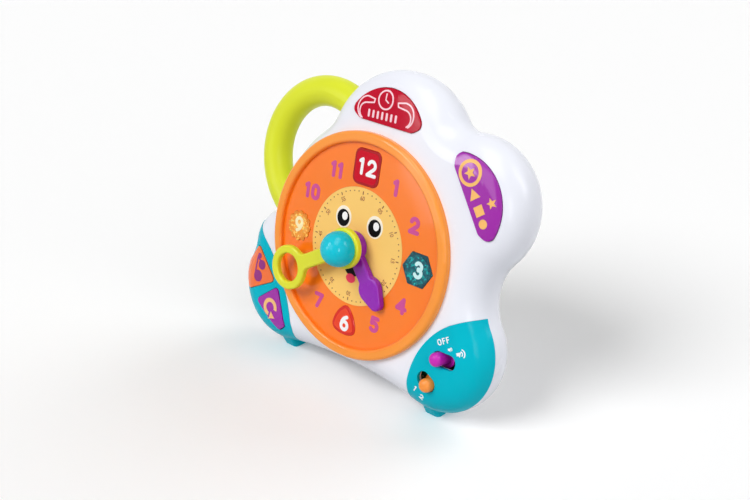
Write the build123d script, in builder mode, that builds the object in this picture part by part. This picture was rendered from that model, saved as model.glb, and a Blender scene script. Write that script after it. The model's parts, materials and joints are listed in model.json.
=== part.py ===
"""Teaching clock for small children, built from its separate mouldings and working parts.

The clock stands on two front feet and two rear feet and leans back. Nearly everything is laid out
in the leaned frame of its dial: x to the viewer's right, u up the dial and h out of the dial.
All lengths are in millimetres and all angles in degrees.
"""
import os
from math import acos, atan2, cos, degrees, hypot, pi, radians, sin, sqrt, tan

from build123d import *

os.makedirs("parts", exist_ok=True)

# Stance of the clock
lean = 12.7
dial_height = 104.5

# Body outline: round lobes as centre x, centre u and radius, and the hollows between them
top_lobe_x = 8.5
top_lobe_u = 64.5
top_lobe_r = 57.0
side_lobe_x = 73.0
side_lobe_u = 46.0
side_lobe_r = 47.0
foot_lobe_x = 72.5
foot_lobe_u = -52.0
foot_lobe_r = 43.0
shoulder_x = -80.0
shoulder_u = -24.0
shoulder_r = 30.0
flank_r = 90.0
top_hollow_r = 17.0
waist_hollow_r = 35.5
arch_u = -88.5
socket_hollow_r = 16.0
flank_hollow_r = 31.0

# Body depth, walls and edge rounding
front_face = -2.0
body_depth = 43.5
front_round = 20.0
rear_round = 21.5
seam = -23.5
wall = 2.5
backing = 2.0
lip_height = 2.0
lip_gap = 0.1
fixed_gap = 0.15

# Carrying handle
handle_x = -61.0
handle_u = 46.3
handle_bend_r = 49.5
handle_r = 11.0
handle_wall = 2.6
handle_from = 60.0
handle_to = 237.0
handle_gap = 0.3

# Corner panels and their feet
panel_proud = 0.4
corner_depth = -17.0
right_tip_x = 103.5
right_tip_u = -19.8
right_bow_x = 72.6
right_bow_u = -40.7
right_low_x = 59.8
right_low_u = -80.0
left_tip_x = 104.0
left_tip_u = -10.3
left_bow_x = 70.0
left_bow_u = -42.0
left_low_x = 52.3
left_low_u = -79.5
foot_x = 70.0
foot_width = 13.0
foot_front = -11.0
foot_head_u = -88.0
foot_toe = -25.8
foot_toe_u = -106.0
foot_rear = -34.5
foot_round = 3.0

# Dial plate, face disc and numeral tiles
dial_r = 78.7
dial_rim = 7.8
dial_plate_back = -2.0
dial_field = 0.0
dial_rim_top = 3.0
dial_seat_r = 78.0
face_r = 41.0
face_thickness = 0.8
numeral_r = 55.0
tile_sunk = 1.2
tile_proud = 0.6
tile_edge = 0.3
face_proud = 0.1
rim_outer_round = 2.4
rim_inner_round = 1.8
square_tile_width = 23.0
square_tile_height = 24.6
square_tile_corner = 5.0
hexagon_tile_r = 12.7
hexagon_tile_corner = 1.2
triangle_tile_r = 12.7
triangle_tile_rise = 0.4
triangle_tile_corner = 5.0
sun_tile_r = 9.7
sun_scallop_at = 8.95
sun_scallop_r = 2.1
sun_tile_scallops = 12

# Push buttons
button_proud = 1.0
button_thickness = 1.8
button_gap = 0.35
button_travel = 1.5
stem_r = 3.0
stem_gap = 0.06
stem_end = -14.0
guide_r = 5.2
guide_end = -12.0
snap_r = 4.2
snap_gap = 0.3
moon_width = 62.0
moon_height = 24.8
moon_end_rise = 5.0
moon_end_run = 8.3
moon_corner = 5.0
top_button_u = 85.0
top_button_turn = -2.0
side_button_x = 81.5
side_button_u = 53.0
side_button_turn = -55.0

# Button boards and their silicone switch domes
small_board_front = -18.2
board_thickness = 1.6
dome_r = 4.0
dome_gap = 0.2
dome_foot_r = 6.0
dome_foot = 0.6
moon_board = 38.0
moon_post = 14.5
small_board_width = 14.0
left_board_length = 47.0
left_post = 6.0
small_post_r = 2.6
board_corner = 1.5

# Slide switches on the right corner panel
peg_r = 4.7
peg_top = 4.6
peg_gap = 0.4
slot_relief = 0.7
volume_x = 82.0
volume_u = -52.2
volume_turn = 1.5
volume_travel = 8.3
mode_x = 77.5
mode_u = -72.0
mode_turn = 152.0
mode_travel = 5.0
carriage_top = -9.2
carriage_thickness = 1.4
slide_board_front = -12.6
slide_board_x = 79.0
slide_board_u = -60.0
slide_board_width = 38.0
slide_board_height = 34.0
slide_board_corner = 8.0
slide_screw_tip = -7.8
peg_flat_r = 1.2
carriage_length = 15.0
carriage_width = 13.0
carriage_corner = 5.0
leaf_thickness = 0.3
leaf_length = 9.0
leaf_width = 3.0
wiper_gap = 0.2

# Clock hands, knob and time shown
minute_angle = 240.0
hour_angle = 139.0
minute_hub_r = 14.0
minute_low = 9.2
minute_top = 13.6
minute_ring_place = 56.7
minute_ring_r = 16.0
minute_ring_hole_r = 10.2
minute_arm_width = 10.5
minute_web_r = 7.0
hand_round = 1.5
hand_back_round = 0.6
hour_hub_r = 11.0
hour_low = 1.0
hour_top = 8.8
hour_blade_top = 5.6
hour_neck = 10.8
hour_belly_at = 32.0
hour_belly_r = 9.0
hour_tip_at = 42.3
hour_tip_r = 5.0
hour_waist_r = 2.0
knob_r = 12.2
knob_centre = 17.2
knob_bore_end = 23.0

# Motion work: the minute arbor drives the hour pipe at one twelfth through one intermediate gear
gear_module = 0.8
pressure_angle = 30.0
addendum = 0.85
dedendum = 1.1
tooth_play = 0.08
minute_teeth = 10
intermediate_teeth = 30
small_teeth = 8
hour_teeth = 32
arbor_r = 3.0
arbor_flat = 2.5
pivot_r = 2.0
pipe_r = 5.0
neck_r = 7.4
pin_r = 1.2
shaft_gap = 0.06
case_front = -9.5
case_plate = 1.8
case_back = -20.5
case_r = 15.6
case_wall = 1.6
case_lug_place = 18.8
case_lug_r = 4.0
case_screw_tip = -5.3
neck_top = 0.6
hour_wheel_front = -12.0
wheel_thickness = 3.0
minute_wheel_front = -16.0
minute_wheel_back = -19.5
pinion_front = -15.4
arbor_end = -24.6
clip_r = 4.2
clip_back = -23.6
clip_thickness = 0.8
collar_r = 6.5
hub_r = 3.0
end_play = 0.3
pin_seat = 1.3

# Main board, speaker and fasteners
main_board_width = 80.0
main_board_height = 40.0
main_board_u = -54.0
main_board_front = -24.0
main_post_x = 36.0
main_post_u = 16.0
chip_r = 7.0
chip_height = 1.6
capacitor_x = 22.0
capacitor_u = 8.0
capacitor_r = 3.2
capacitor_height = 9.0
post_r = 3.4
speaker_x = 8.0
speaker_u = 50.0
speaker_r = 20.0
speaker_gap = 0.3
speaker_fence = 1.6
speaker_rim = 1.5
speaker_clamp_back = -41.4
clamp_thickness = 1.5
speaker_lug_place = 24.0
speaker_screw_tip = -44.3
basket_r = 15.5
basket_height = 8.5
magnet_r = 11.0
magnet_height = 6.0
grille_r = 16.5
grille_rows = 3
grille_pitch = 4.8
grille_slot = 2.2
screw_r = 1.15
screw_head_r = 2.6
screw_head = 1.6
pilot_gap = 0.05
screw_gap = 0.3
screw_hole_r = 1.5
screw_bite = 6.0
dial_post_end = -9.0
dial_screw_tip = 1.2
housing_post_r = 4.2
housing_screw_r = 1.45
housing_head_r = 2.8
housing_seat = -31.0
housing_screw_tip = -12.0

# Battery housing, cells and door
bulge_width = 84.0
bulge_low_u = -88.0
bulge_top_u = -28.0
bulge_back = -64.0
bulge_front = -36.0
bulge_round = 5.0
bulge_edge = 2.5
cell_r = 7.15
cell_length = 50.2
cell_pitch = 15.0
cell_u = -58.0
pocket_floor = -47.0
pocket_width = 57.0
pocket_height = 46.5
pocket_corner = 1.5
nub_r = 2.7
nub_length = 1.0
contact_plate = 0.5
contact_size = 10.0
spring_foot_r = 4.2
spring_tip_r = 2.6
door_width = 76.0
door_height = 53.0
door_thickness = 2.2
door_gap = 0.3
door_corner = 4.0
door_screw_tip = -54.0
door_screw_x = 34.6
rear_foot_x = 30.0
rear_foot_width = 13.0
rear_foot_corner = 2.5
rear_foot_front = -50.0
rear_foot_length = 34.0
pad_r = 5.0
pad_height = 3.0
pad_showing = 1.5

slant = radians(lean)
reach_left = handle_bend_r + handle_r - handle_x
reach_right = side_lobe_x + side_lobe_r
reach_front = knob_centre * cos(slant) + knob_r
rear_centre_u = top_lobe_u + top_lobe_r - rear_round
rear_centre_h = front_face - body_depth + rear_round
reach_rear = rear_centre_u * sin(slant) - rear_centre_h * cos(slant) + rear_round
dial = Plane(
    origin=((reach_left - reach_right) / 2, (reach_front - reach_rear) / 2, dial_height),
    x_dir=(1, 0, 0),
    z_dir=(0, -cos(slant), sin(slant)),
)
dial_axis = Axis(dial.origin, dial.z_dir)


def level(height):
    """Plane across the clock at a height above the dial plane."""
    return dial.offset(height)


def place(x, u, height):
    """Location on the clock whose own Z points out of the dial."""
    return level(height).location * Location((x, u, 0))


def hollow_centre(lobe_a, lobe_b, radius):
    """Centre of the arc that joins two lobes from outside, on the left of the way from a to b."""
    ax, au, ar = lobe_a
    bx, bu, br = lobe_b
    span = hypot(bx - ax, bu - au)
    reach_a = ar + radius
    reach_b = br + radius
    along = (reach_a**2 - reach_b**2 + span**2) / (2 * span)
    aside = sqrt(reach_a**2 - along**2)
    ex = (bx - ax) / span
    eu = (bu - au) / span
    return ax + along * ex - aside * eu, au + along * eu + aside * ex


def bearing(start, end):
    """Direction in degrees from one point to another."""
    return degrees(atan2(end[1] - start[1], end[0] - start[0]))


def body_outline(inset):
    """Outline of the body, drawn in by inset all round."""
    rise = foot_lobe_u - arch_u
    arch_r = (foot_lobe_x**2 + rise**2 - foot_lobe_r**2) / (2 * (foot_lobe_r - rise))
    lobes = [
        (top_lobe_x, top_lobe_u, top_lobe_r),
        (side_lobe_x, side_lobe_u, side_lobe_r),
        (foot_lobe_x, foot_lobe_u, foot_lobe_r),
        (-foot_lobe_x, foot_lobe_u, foot_lobe_r),
        (shoulder_x, shoulder_u, shoulder_r),
        (0, 0, flank_r),
    ]
    hollows = [top_hollow_r, waist_hollow_r, arch_r, waist_hollow_r, socket_hollow_r, flank_hollow_r]
    followers = lobes[1:] + lobes[:1]
    centres = [hollow_centre(a, b, r) for a, b, r in zip(lobes, followers, hollows)]
    with BuildSketch() as outline:
        with BuildLine():
            for i, lobe in enumerate(lobes):
                start = bearing(lobe, centres[i - 1])
                turn = (start - bearing(lobe, centres[i])) % 360
                CenterArc(lobe[:2], lobe[2] - inset, start, -turn)
                start = bearing(centres[i], lobe)
                turn = (bearing(centres[i], followers[i]) - start) % 360
                CenterArc(centres[i], hollows[i] + inset, start, turn)
        make_face()
    return outline.sketch


def body_block(inset):
    """Solid block of the body with its rounded edges, inside the outer skin by inset."""
    with BuildPart() as block:
        with BuildSketch(level(front_face - inset)):
            add(body_outline(inset))
        extrude(amount=2 * inset - body_depth)
        fillet(block.faces().sort_by(dial_axis)[-1].edges(), front_round - inset)
        fillet(block.faces().sort_by(dial_axis)[0].edges(), rear_round - inset)
    return block.part


def slab(face, low, high):
    """Solid that stands on a flat outline, between two heights."""
    with BuildPart() as block:
        with BuildSketch(level(low)):
            add(face)
        extrude(amount=high - low)
    return block.part


def layer(outer, inner, face, low, high):
    """Part of the skin between two body blocks that lies under a flat outline."""
    with BuildPart() as piece:
        add(outer)
        add(inner, mode=Mode.SUBTRACT)
        add(slab(face, low, high), mode=Mode.INTERSECT)
    return piece.part


def grown(face, margin):
    """Flat outline made larger all round, or smaller with a minus sign."""
    with BuildSketch() as shape:
        add(face)
        offset(amount=margin, kind=Kind.ARC)
    return shape.sketch


def moved(face, x, u, turn=0):
    """Flat outline carried to its place on the clock."""
    with BuildSketch() as shape:
        with Locations(Location((x, u, 0), (0, 0, turn))):
            add(face)
    return shape.sketch


def mirrored(face):
    """Flat outline on the other side of the clock."""
    with BuildSketch() as shape:
        mirror(face, about=Plane.YZ)
    return shape.sketch


def post(x, u, radius, low, high, mode=Mode.ADD):
    """Round post, or round hole, between two heights in the piece being built."""
    with Locations(place(x, u, low)):
        Cylinder(radius, high - low, align=(Align.CENTER, Align.CENTER, Align.MIN), mode=mode)


def screw(x, u, seat, tip, head_r=screw_head_r, shank_r=screw_r):
    """Screw driven from behind, with its head under the seat."""
    post(x, u, head_r, seat - screw_head, seat)
    post(x, u, shank_r, seat - screw_head / 2, tip)


def corner_face(tip, bow, low):
    """Outline over the right foot lobe: bowed towards the dial and left open towards the outside."""
    outside_x = foot_lobe_x + foot_lobe_r + 2 * wall
    outside_u = foot_lobe_u - foot_lobe_r - 2 * wall
    with BuildSketch() as shape:
        with BuildLine():
            ThreePointArc(tip, bow, low)
            Polyline(low, (low[0], outside_u), (outside_x, outside_u), (outside_x, tip[1] + wall), tip)
        make_face()
    return shape.sketch


def moon_face():
    """Half moon of the two large buttons, with the middle of its straight side at the origin."""
    half = moon_width / 2
    base = half - moon_end_run
    with BuildSketch() as shape:
        with BuildLine():
            ThreePointArc((half, moon_end_rise), (0, moon_height), (-half, moon_end_rise))
            Polyline((-half, moon_end_rise), (-base, 0), (base, 0), (half, moon_end_rise))
        make_face()
        fillet(shape.vertices(), moon_corner)
    return shape.sketch


def four_sided_face(corners, radius):
    """Four-cornered button outline with rounded corners."""
    with BuildSketch() as shape:
        with BuildLine():
            Polyline(*corners, close=True)
        make_face()
        fillet(shape.vertices(), radius)
    return shape.sketch


def disc_face(radius):
    """Round outline about the origin."""
    with BuildSketch() as shape:
        Circle(radius)
    return shape.sketch


def slot_face(x, u, turn, travel, radius):
    """Slot that a round peg needs for its travel from one end."""
    with BuildSketch() as shape:
        with Locations(Location((x, u, 0), (0, 0, turn))):
            with Locations((travel / 2, 0)):
                SlotCenterToCenter(travel, 2 * radius)
    return shape.sketch


def gear_face(teeth, start):
    """Involute gear outline with a tooth centred on the start direction."""
    pitch_r = gear_module * teeth / 2
    base_r = pitch_r * cos(radians(pressure_angle))
    tip_r = pitch_r + addendum * gear_module
    root_r = pitch_r - dedendum * gear_module
    flank_from = max(base_r, root_r)

    def half_width(radius):
        roll = acos(min(1, base_r / radius))
        spread = tan(radians(pressure_angle)) - radians(pressure_angle) - tan(roll) + roll
        return pi / (2 * teeth) - tooth_play / (2 * pitch_r) + spread

    def at(radius, angle):
        return radius * cos(angle), radius * sin(angle)

    middle_r = (flank_from + tip_r) / 2
    with BuildSketch() as shape:
        with BuildLine():
            for tooth in range(teeth):
                centre = radians(start) + 2 * pi * tooth / teeth
                follower = centre + 2 * pi / teeth
                root_half = half_width(flank_from)
                near = at(root_r, centre - root_half)
                far = at(root_r, centre + root_half)
                rise_from = at(flank_from, centre - root_half)
                rise_to = at(tip_r, centre - half_width(tip_r))
                fall_from = at(tip_r, centre + half_width(tip_r))
                fall_to = at(flank_from, centre + root_half)
                if flank_from > root_r:
                    Line(near, rise_from)
                    Line(fall_to, far)
                ThreePointArc(rise_from, at(middle_r, centre - half_width(middle_r)), rise_to)
                Line(rise_to, fall_from)
                ThreePointArc(fall_from, at(middle_r, centre + half_width(middle_r)), fall_to)
                Line(far, at(root_r, follower - root_half))
        make_face()
    return shape.sketch


def double_flat_face(radius, half_flat):
    """Round shaft section with two flats."""
    with BuildSketch() as shape:
        Circle(radius)
        Rectangle(2 * radius, 2 * half_flat, mode=Mode.INTERSECT)
    return shape.sketch


def push_button(face, stem):
    """Button cap that follows the skin, with its stem and the collar that keeps it in its guide."""
    cap = layer(button_skin, button_under, grown(face, -button_gap), corner_depth, sky)
    with BuildPart() as button:
        post(*stem, stem_r, stem_end, front_face)
        add(skin, mode=Mode.INTERSECT)
        post(*stem, snap_r, stem_end, guide_end - snap_gap)
        add(cap)
    return button.part


def dome(stem):
    """Silicone dome over the switch contacts, just clear of the pressed stem."""
    post(*stem, dome_foot_r, small_board_front, small_board_front + dome_foot)
    post(*stem, dome_r, small_board_front, stem_end - button_travel - dome_gap)


def small_board(x, u, turn, length, width, posts):
    """Little switch board with rounded corners and a hole for each of its screws."""
    with BuildPart() as board:
        with BuildSketch(level(small_board_front - board_thickness)):
            with Locations(Location((x, u, 0), (0, 0, turn))):
                RectangleRounded(length, width, board_corner)
        extrude(amount=board_thickness)
        for at in posts:
            post(*at, screw_hole_r, small_board_front - board_thickness, small_board_front,
                 mode=Mode.SUBTRACT)
    return board.part


def slide_knob(x, u, turn):
    """Peg of a slide switch with the carriage that keeps it under the panel."""
    with BuildPart() as knob:
        post(x, u, peg_r, carriage_top - carriage_thickness, peg_top)
        fillet(knob.faces().sort_by(dial_axis)[-1].edges(), peg_r - peg_flat_r)
        with BuildSketch(level(carriage_top - carriage_thickness)):
            with Locations(Location((x, u, 0), (0, 0, turn))):
                RectangleRounded(carriage_length, carriage_width, carriage_corner)
        extrude(amount=carriage_thickness)
    return knob.part


def wiper(x, u, turn):
    """Brass contact under a carriage: a leaf with two feet that brush the board."""
    carriage_under = carriage_top - carriage_thickness
    with BuildPart() as leaf:
        with BuildSketch(level(carriage_under - leaf_thickness)):
            with Locations(Location((x, u, 0), (0, 0, turn))):
                Rectangle(leaf_length, leaf_width)
        extrude(amount=leaf_thickness)
        with BuildSketch(level(slide_board_front + wiper_gap)):
            with Locations(Location((x, u, 0), (0, 0, turn))):
                with GridLocations(leaf_length - leaf_thickness, 0, 2, 1):
                    Rectangle(leaf_thickness, leaf_width)
        extrude(amount=carriage_under - slide_board_front - wiper_gap)
    return leaf.part


def corner_panel(face, side, openings):
    """Corner panel that follows the skin, with its openings and the tapered front foot under it."""
    panel_layer = layer(panel_skin, panel_seat, face, corner_depth, sky)
    below = slab(grown(face, wall), foot_rear - wall, corner_depth)
    with BuildPart() as low_skin:
        add(foot_clear)
        add(below, mode=Mode.INTERSECT)
    cutters = [slab(grown(opening, fixed_gap), seam, sky) for opening in openings]
    foot_middle = dial.from_local_coords(Vector(side * foot_x, 0, 0))
    foot_side = Plane(origin=foot_middle, x_dir=dial.z_dir, z_dir=-dial.x_dir)
    with BuildPart() as panel:
        with BuildSketch(foot_side):
            with BuildLine():
                Polyline((foot_rear, foot_head_u), (foot_front, foot_head_u), (foot_toe, foot_toe_u))
                Polyline((foot_toe, foot_toe_u), (foot_rear, foot_toe_u), (foot_rear, foot_head_u))
            make_face()
        extrude(amount=foot_width / 2, both=True)
        front_edges = panel.faces().sort_by(dial_axis)[-1].edges().sort_by(SortBy.LENGTH)[-2:]
        fillet(front_edges, foot_round)
        add(panel_seat, mode=Mode.SUBTRACT)
        add(low_skin.part, mode=Mode.SUBTRACT)
        add(panel_layer)
        for cutter in cutters:
            add(cutter, mode=Mode.SUBTRACT)
        split(bisect_by=Plane.XY, keep=Keep.TOP)
    return panel.part


def tube(radius, bore_r, from_angle, to_angle):
    """Length of the handle's tube along its bend."""
    start = radians(from_angle)
    start_x = handle_x + handle_bend_r * cos(start)
    start_u = handle_u + handle_bend_r * sin(start)
    section = Plane(
        origin=dial.from_local_coords(Vector(start_x, start_u, seam)),
        x_dir=dial.z_dir,
        z_dir=dial.y_dir * cos(start) - dial.x_dir * sin(start),
    )
    with BuildPart() as pipe:
        with BuildLine(level(seam)):
            CenterArc((handle_x, handle_u), handle_bend_r, from_angle, to_angle - from_angle)
        with BuildSketch(section):
            Circle(radius)
            if bore_r:
                Circle(bore_r, mode=Mode.SUBTRACT)
        sweep()
    return pipe.part


# Body blocks shared by the shells, panels and buttons
skin = body_block(0)
cavity = body_block(wall)
lining_block = body_block(wall + backing)
post_limit = body_block(wall / 2)
panel_skin = body_block(-panel_proud)
panel_seat = body_block(wall - fixed_gap)
lip_outer = body_block(wall / 2 + lip_gap)
lip_seat = post_limit
button_skin = body_block(-button_proud)
button_under = body_block(button_thickness - button_proud)
foot_clear = body_block(-lip_gap)
sky = minute_low
whole_face = disc_face(2 * dial_r)

# Flat outlines
corner_right = corner_face((right_tip_x, right_tip_u), (right_bow_x, right_bow_u), (right_low_x, right_low_u))
corner_left = mirrored(
    corner_face((left_tip_x, left_tip_u), (left_bow_x, left_bow_u), (left_low_x, left_low_u))
)
top_face = moved(moon_face(), top_lobe_x, top_button_u, top_button_turn)
side_face = moved(moon_face(), side_button_x, side_button_u, side_button_turn)
music_face = four_sided_face(((-95.5, -25.5), (-74, -48.8), (-102.5, -63.5), (-112, -46)), 3.2)
repeat_face = four_sided_face(((-92, -68), (-70.5, -51.5), (-58.5, -79.5), (-66, -85.5)), 3.0)
volume_slot = slot_face(volume_x, volume_u, volume_turn, volume_travel, peg_r + peg_gap)
mode_slot = slot_face(mode_x, mode_u, mode_turn, mode_travel, peg_r + peg_gap)

# Places of the button stems and of the posts that carry their boards
moon_middle = moon_height / 2
side_along_x = cos(radians(side_button_turn))
side_along_u = sin(radians(side_button_turn))
top_stem = (top_lobe_x, top_button_u + moon_middle)
side_stem = (side_button_x - moon_middle * side_along_u, side_button_u + moon_middle * side_along_x)
music_stem = (-96, -46)
repeat_stem = (-73, -70)
stems = [top_stem, side_stem, music_stem, repeat_stem]
left_x = (music_stem[0] + repeat_stem[0]) / 2
left_u = (music_stem[1] + repeat_stem[1]) / 2
left_turn = bearing(music_stem, repeat_stem)
top_posts = [(top_stem[0] + end * moon_post, top_stem[1]) for end in (-1, 1)]
side_posts = [
    (side_stem[0] + end * moon_post * side_along_x, side_stem[1] + end * moon_post * side_along_u)
    for end in (-1, 1)
]
left_posts = [
    (left_x + end * left_post * cos(radians(left_turn)), left_u + end * left_post * sin(radians(left_turn)))
    for end in (-1, 1)
]
small_posts = top_posts + side_posts + left_posts
slide_posts = [(63.5, -53.0), (95.0, -69.0)]

# Places of the screws and of the gears
housing_screws_at = [(44, 84), (70, 6), (54, -38), (-54, -38), (-62, 2), (-24, 64)]
dial_screw_ring = dial_r - dial_rim / 2
dial_screws_at = [
    (dial_screw_ring * cos(radians(a)), dial_screw_ring * sin(radians(a))) for a in (50, 140, 225, 315)
]
case_screws_at = [(-case_lug_place, 8), (case_lug_place, 8), (0, -case_lug_place)]
main_posts = [(x * main_post_x, main_board_u + u * main_post_u) for x in (-1, 1) for u in (-1, 1)]
intermediate_u = gear_module * (minute_teeth + intermediate_teeth) / 2
cells_at = [cell_u + i * cell_pitch for i in (-1, 0, 1)]
speaker_screws_at = [
    (speaker_x + speaker_lug_place * cos(radians(a)), speaker_u + speaker_lug_place * sin(radians(a)))
    for a in (90, 210, 330)
]
inner_back = front_face - body_depth + wall
cell_h = pocket_floor - cell_r - fixed_gap
handle_path = tube(handle_r + handle_gap, 0, handle_from - 1, handle_to + 1)

# Front shell: wall, lined pockets for panels and buttons, dial seat, posts and seam lip
front_linings = [
    layer(cavity, lining_block, grown(corner_right, wall), corner_depth - wall, sky),
    layer(cavity, lining_block, grown(corner_left, wall), corner_depth - wall, sky),
    layer(cavity, lining_block, grown(top_face, wall), corner_depth, sky),
    layer(cavity, lining_block, grown(side_face, wall), corner_depth, sky),
]
pockets = [grown(corner_right, fixed_gap), grown(corner_left, fixed_gap), top_face, side_face]
front_cuts = [layer(foot_clear, cavity, face, corner_depth - fixed_gap, sky) for face in pockets]
slot_cuts = [slab(grown(face, slot_relief), slide_board_front, sky) for face in (volume_slot, mode_slot)]
dial_seat = slab(disc_face(dial_seat_r), dial_plate_back - 3 * wall, dial_plate_back)
front_lip = layer(lip_outer, cavity, whole_face, seam - lip_height, seam + lip_height)
with BuildPart() as front_posts:
    for at in housing_screws_at:
        post(*at, housing_post_r, seam, front_face)
    for at in main_posts:
        post(*at, post_r, main_board_front, front_face)
    for at in dial_screws_at:
        post(*at, post_r, dial_post_end, front_face)
    for at in case_screws_at:
        post(*at, post_r, case_front, front_face)
    for at in stems:
        post(*at, guide_r, guide_end, front_face)
    for at in small_posts:
        post(*at, small_post_r, small_board_front, front_face)
    for at in slide_posts:
        post(*at, small_post_r, slide_board_front, front_face)
    add(post_limit, mode=Mode.INTERSECT)
with BuildPart() as front_shell:
    add(skin)
    add(dial_seat)
    add(cavity, mode=Mode.SUBTRACT)
    split(bisect_by=level(seam), keep=Keep.TOP)
    add(front_lip)
    for lining in front_linings:
        add(lining)
    add(front_posts.part)
    for cut in front_cuts + slot_cuts:
        add(cut, mode=Mode.SUBTRACT)
    add(handle_path, mode=Mode.SUBTRACT)
    post(0, 0, neck_r + fixed_gap, case_front, sky, mode=Mode.SUBTRACT)
    for at in stems:
        post(*at, stem_r + stem_gap, guide_end, sky, mode=Mode.SUBTRACT)
    for at in housing_screws_at:
        post(*at, housing_screw_r + pilot_gap, seam, housing_screw_tip + pilot_gap, mode=Mode.SUBTRACT)
    for at in main_posts:
        post(*at, screw_r + pilot_gap, main_board_front, main_board_front + screw_bite, mode=Mode.SUBTRACT)
    for at in dial_screws_at:
        post(*at, screw_hole_r, dial_post_end, sky, mode=Mode.SUBTRACT)
    for at in case_screws_at:
        post(*at, screw_r + pilot_gap, case_front, case_screw_tip + pilot_gap, mode=Mode.SUBTRACT)
    for at in small_posts:
        post(*at, screw_r + pilot_gap, small_board_front, small_board_front + screw_bite, mode=Mode.SUBTRACT)
    for at in slide_posts:
        post(*at, screw_r + pilot_gap, slide_board_front, slide_screw_tip + pilot_gap, mode=Mode.SUBTRACT)
front_shell.part.label = "front_shell"
export_step(front_shell.part, "parts/front_shell.step")

# Rear shell: wall, screw columns, speaker grille and seat, battery housing and rear feet
bulge_u = (bulge_low_u + bulge_top_u) / 2
with BuildPart() as bulge:
    with BuildSketch(level(bulge_back)):
        with Locations((0, bulge_u)):
            RectangleRounded(bulge_width, bulge_top_u - bulge_low_u, bulge_round)
    extrude(amount=bulge_front - bulge_back)
    fillet(bulge.faces().sort_by(dial_axis)[0].edges(), bulge_edge)
    with BuildSketch(level(bulge_back)):
        with Locations((-rear_foot_x, bulge_low_u), (rear_foot_x, bulge_low_u)):
            RectangleRounded(rear_foot_width, rear_foot_length, rear_foot_corner)
    extrude(amount=rear_foot_front - bulge_back)
    split(bisect_by=Plane.XY.offset(pad_showing), keep=Keep.TOP)
    add(cavity, mode=Mode.SUBTRACT)
with BuildPart() as rear_posts:
    for at in housing_screws_at:
        post(*at, housing_post_r, front_face - body_depth, seam)
    for at in speaker_screws_at:
        post(*at, post_r, front_face - body_depth, speaker_clamp_back)
    post(speaker_x, speaker_u, speaker_r + speaker_gap + speaker_fence,
         front_face - body_depth, speaker_clamp_back)
    post(speaker_x, speaker_u, speaker_r + speaker_gap, inner_back, speaker_clamp_back, mode=Mode.SUBTRACT)
    add(post_limit, mode=Mode.INTERSECT)
rear_lip_cut = layer(lip_seat, cavity, whole_face, seam - lip_height - fixed_gap, seam)
pad_h = (bulge_back + rear_foot_front) / 2
pad_place = dial.from_local_coords(Vector(0, (-dial_height - pad_h * sin(slant)) / cos(slant), pad_h))
pads_at = [Vector(dial.origin.X + side * rear_foot_x, pad_place.Y, 0) for side in (-1, 1)]
with BuildPart() as rear_shell:
    add(skin)
    add(cavity, mode=Mode.SUBTRACT)
    split(bisect_by=level(seam), keep=Keep.BOTTOM)
    add(rear_lip_cut, mode=Mode.SUBTRACT)
    add(bulge.part)
    add(rear_posts.part)
    add(handle_path, mode=Mode.SUBTRACT)
    with BuildSketch(level(bulge_back)):
        with Locations((0, cell_u)):
            RectangleRounded(pocket_width, pocket_height, pocket_corner)
    extrude(amount=pocket_floor - bulge_back, mode=Mode.SUBTRACT)
    with BuildSketch(level(bulge_back)):
        with Locations((0, cell_u)):
            RectangleRounded(door_width + 2 * door_gap, door_height + 2 * door_gap, door_corner)
    extrude(amount=door_thickness, mode=Mode.SUBTRACT)
    with BuildSketch(level(front_face - body_depth)):
        for i in range(-grille_rows, grille_rows + 1):
            rise = i * grille_pitch
            with Locations((speaker_x, speaker_u + rise)):
                SlotOverall(2 * sqrt(grille_r**2 - rise**2), grille_slot)
    extrude(amount=wall, mode=Mode.SUBTRACT)
    for at in housing_screws_at:
        post(*at, housing_screw_r + screw_gap, front_face - body_depth, seam, mode=Mode.SUBTRACT)
        post(*at, housing_head_r + screw_gap, front_face - body_depth, housing_seat, mode=Mode.SUBTRACT)
    for at in speaker_screws_at:
        post(*at, screw_r + pilot_gap, speaker_screw_tip, speaker_clamp_back, mode=Mode.SUBTRACT)
    for x in (-door_screw_x, door_screw_x):
        post(x, cell_u, screw_r + pilot_gap, bulge_back, door_screw_tip + pilot_gap, mode=Mode.SUBTRACT)
    with Locations(*pads_at):
        Cylinder(
            pad_r + fixed_gap,
            pad_height,
            align=(Align.CENTER, Align.CENTER, Align.MIN),
            mode=Mode.SUBTRACT,
        )
rear_shell.part.label = "rear_shell"
export_step(rear_shell.part, "parts/rear_shell.step")

# Rubber pads under the rear feet
with BuildPart() as rear_pads:
    with Locations(*pads_at):
        Cylinder(pad_r, pad_height, align=(Align.CENTER, Align.CENTER, Align.MIN))
rear_pads.part.label = "rear_pads"
export_step(rear_pads.part, "parts/rear_pads.step")

# Screws that hold the two shells together
with BuildPart() as housing_screws:
    for at in housing_screws_at:
        screw(*at, housing_seat, housing_screw_tip, housing_head_r, housing_screw_r)
housing_screws.part.label = "housing_screws"
export_step(housing_screws.part, "parts/housing_screws.step")

# Carrying handle, clamped between the shells
with BuildPart() as handle:
    add(tube(handle_r, handle_r - handle_wall, handle_from, handle_to))
handle.part.label = "handle"
export_step(handle.part, "parts/handle.step")

# Corner panels
with BuildPart() as right_corner_panel:
    add(corner_panel(corner_right, 1, [volume_slot, mode_slot]))
right_corner_panel.part.label = "right_corner_panel"
export_step(right_corner_panel.part, "parts/right_corner_panel.step")

with BuildPart() as left_corner_panel:
    add(corner_panel(corner_left, -1, [music_face, repeat_face]))
left_corner_panel.part.label = "left_corner_panel"
export_step(left_corner_panel.part, "parts/left_corner_panel.step")

# Push buttons
with BuildPart() as top_button:
    add(push_button(top_face, top_stem))
top_button.part.label = "top_button"
export_step(top_button.part, "parts/top_button.step")

with BuildPart() as side_button:
    add(push_button(side_face, side_stem))
side_button.part.label = "side_button"
export_step(side_button.part, "parts/side_button.step")

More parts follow.
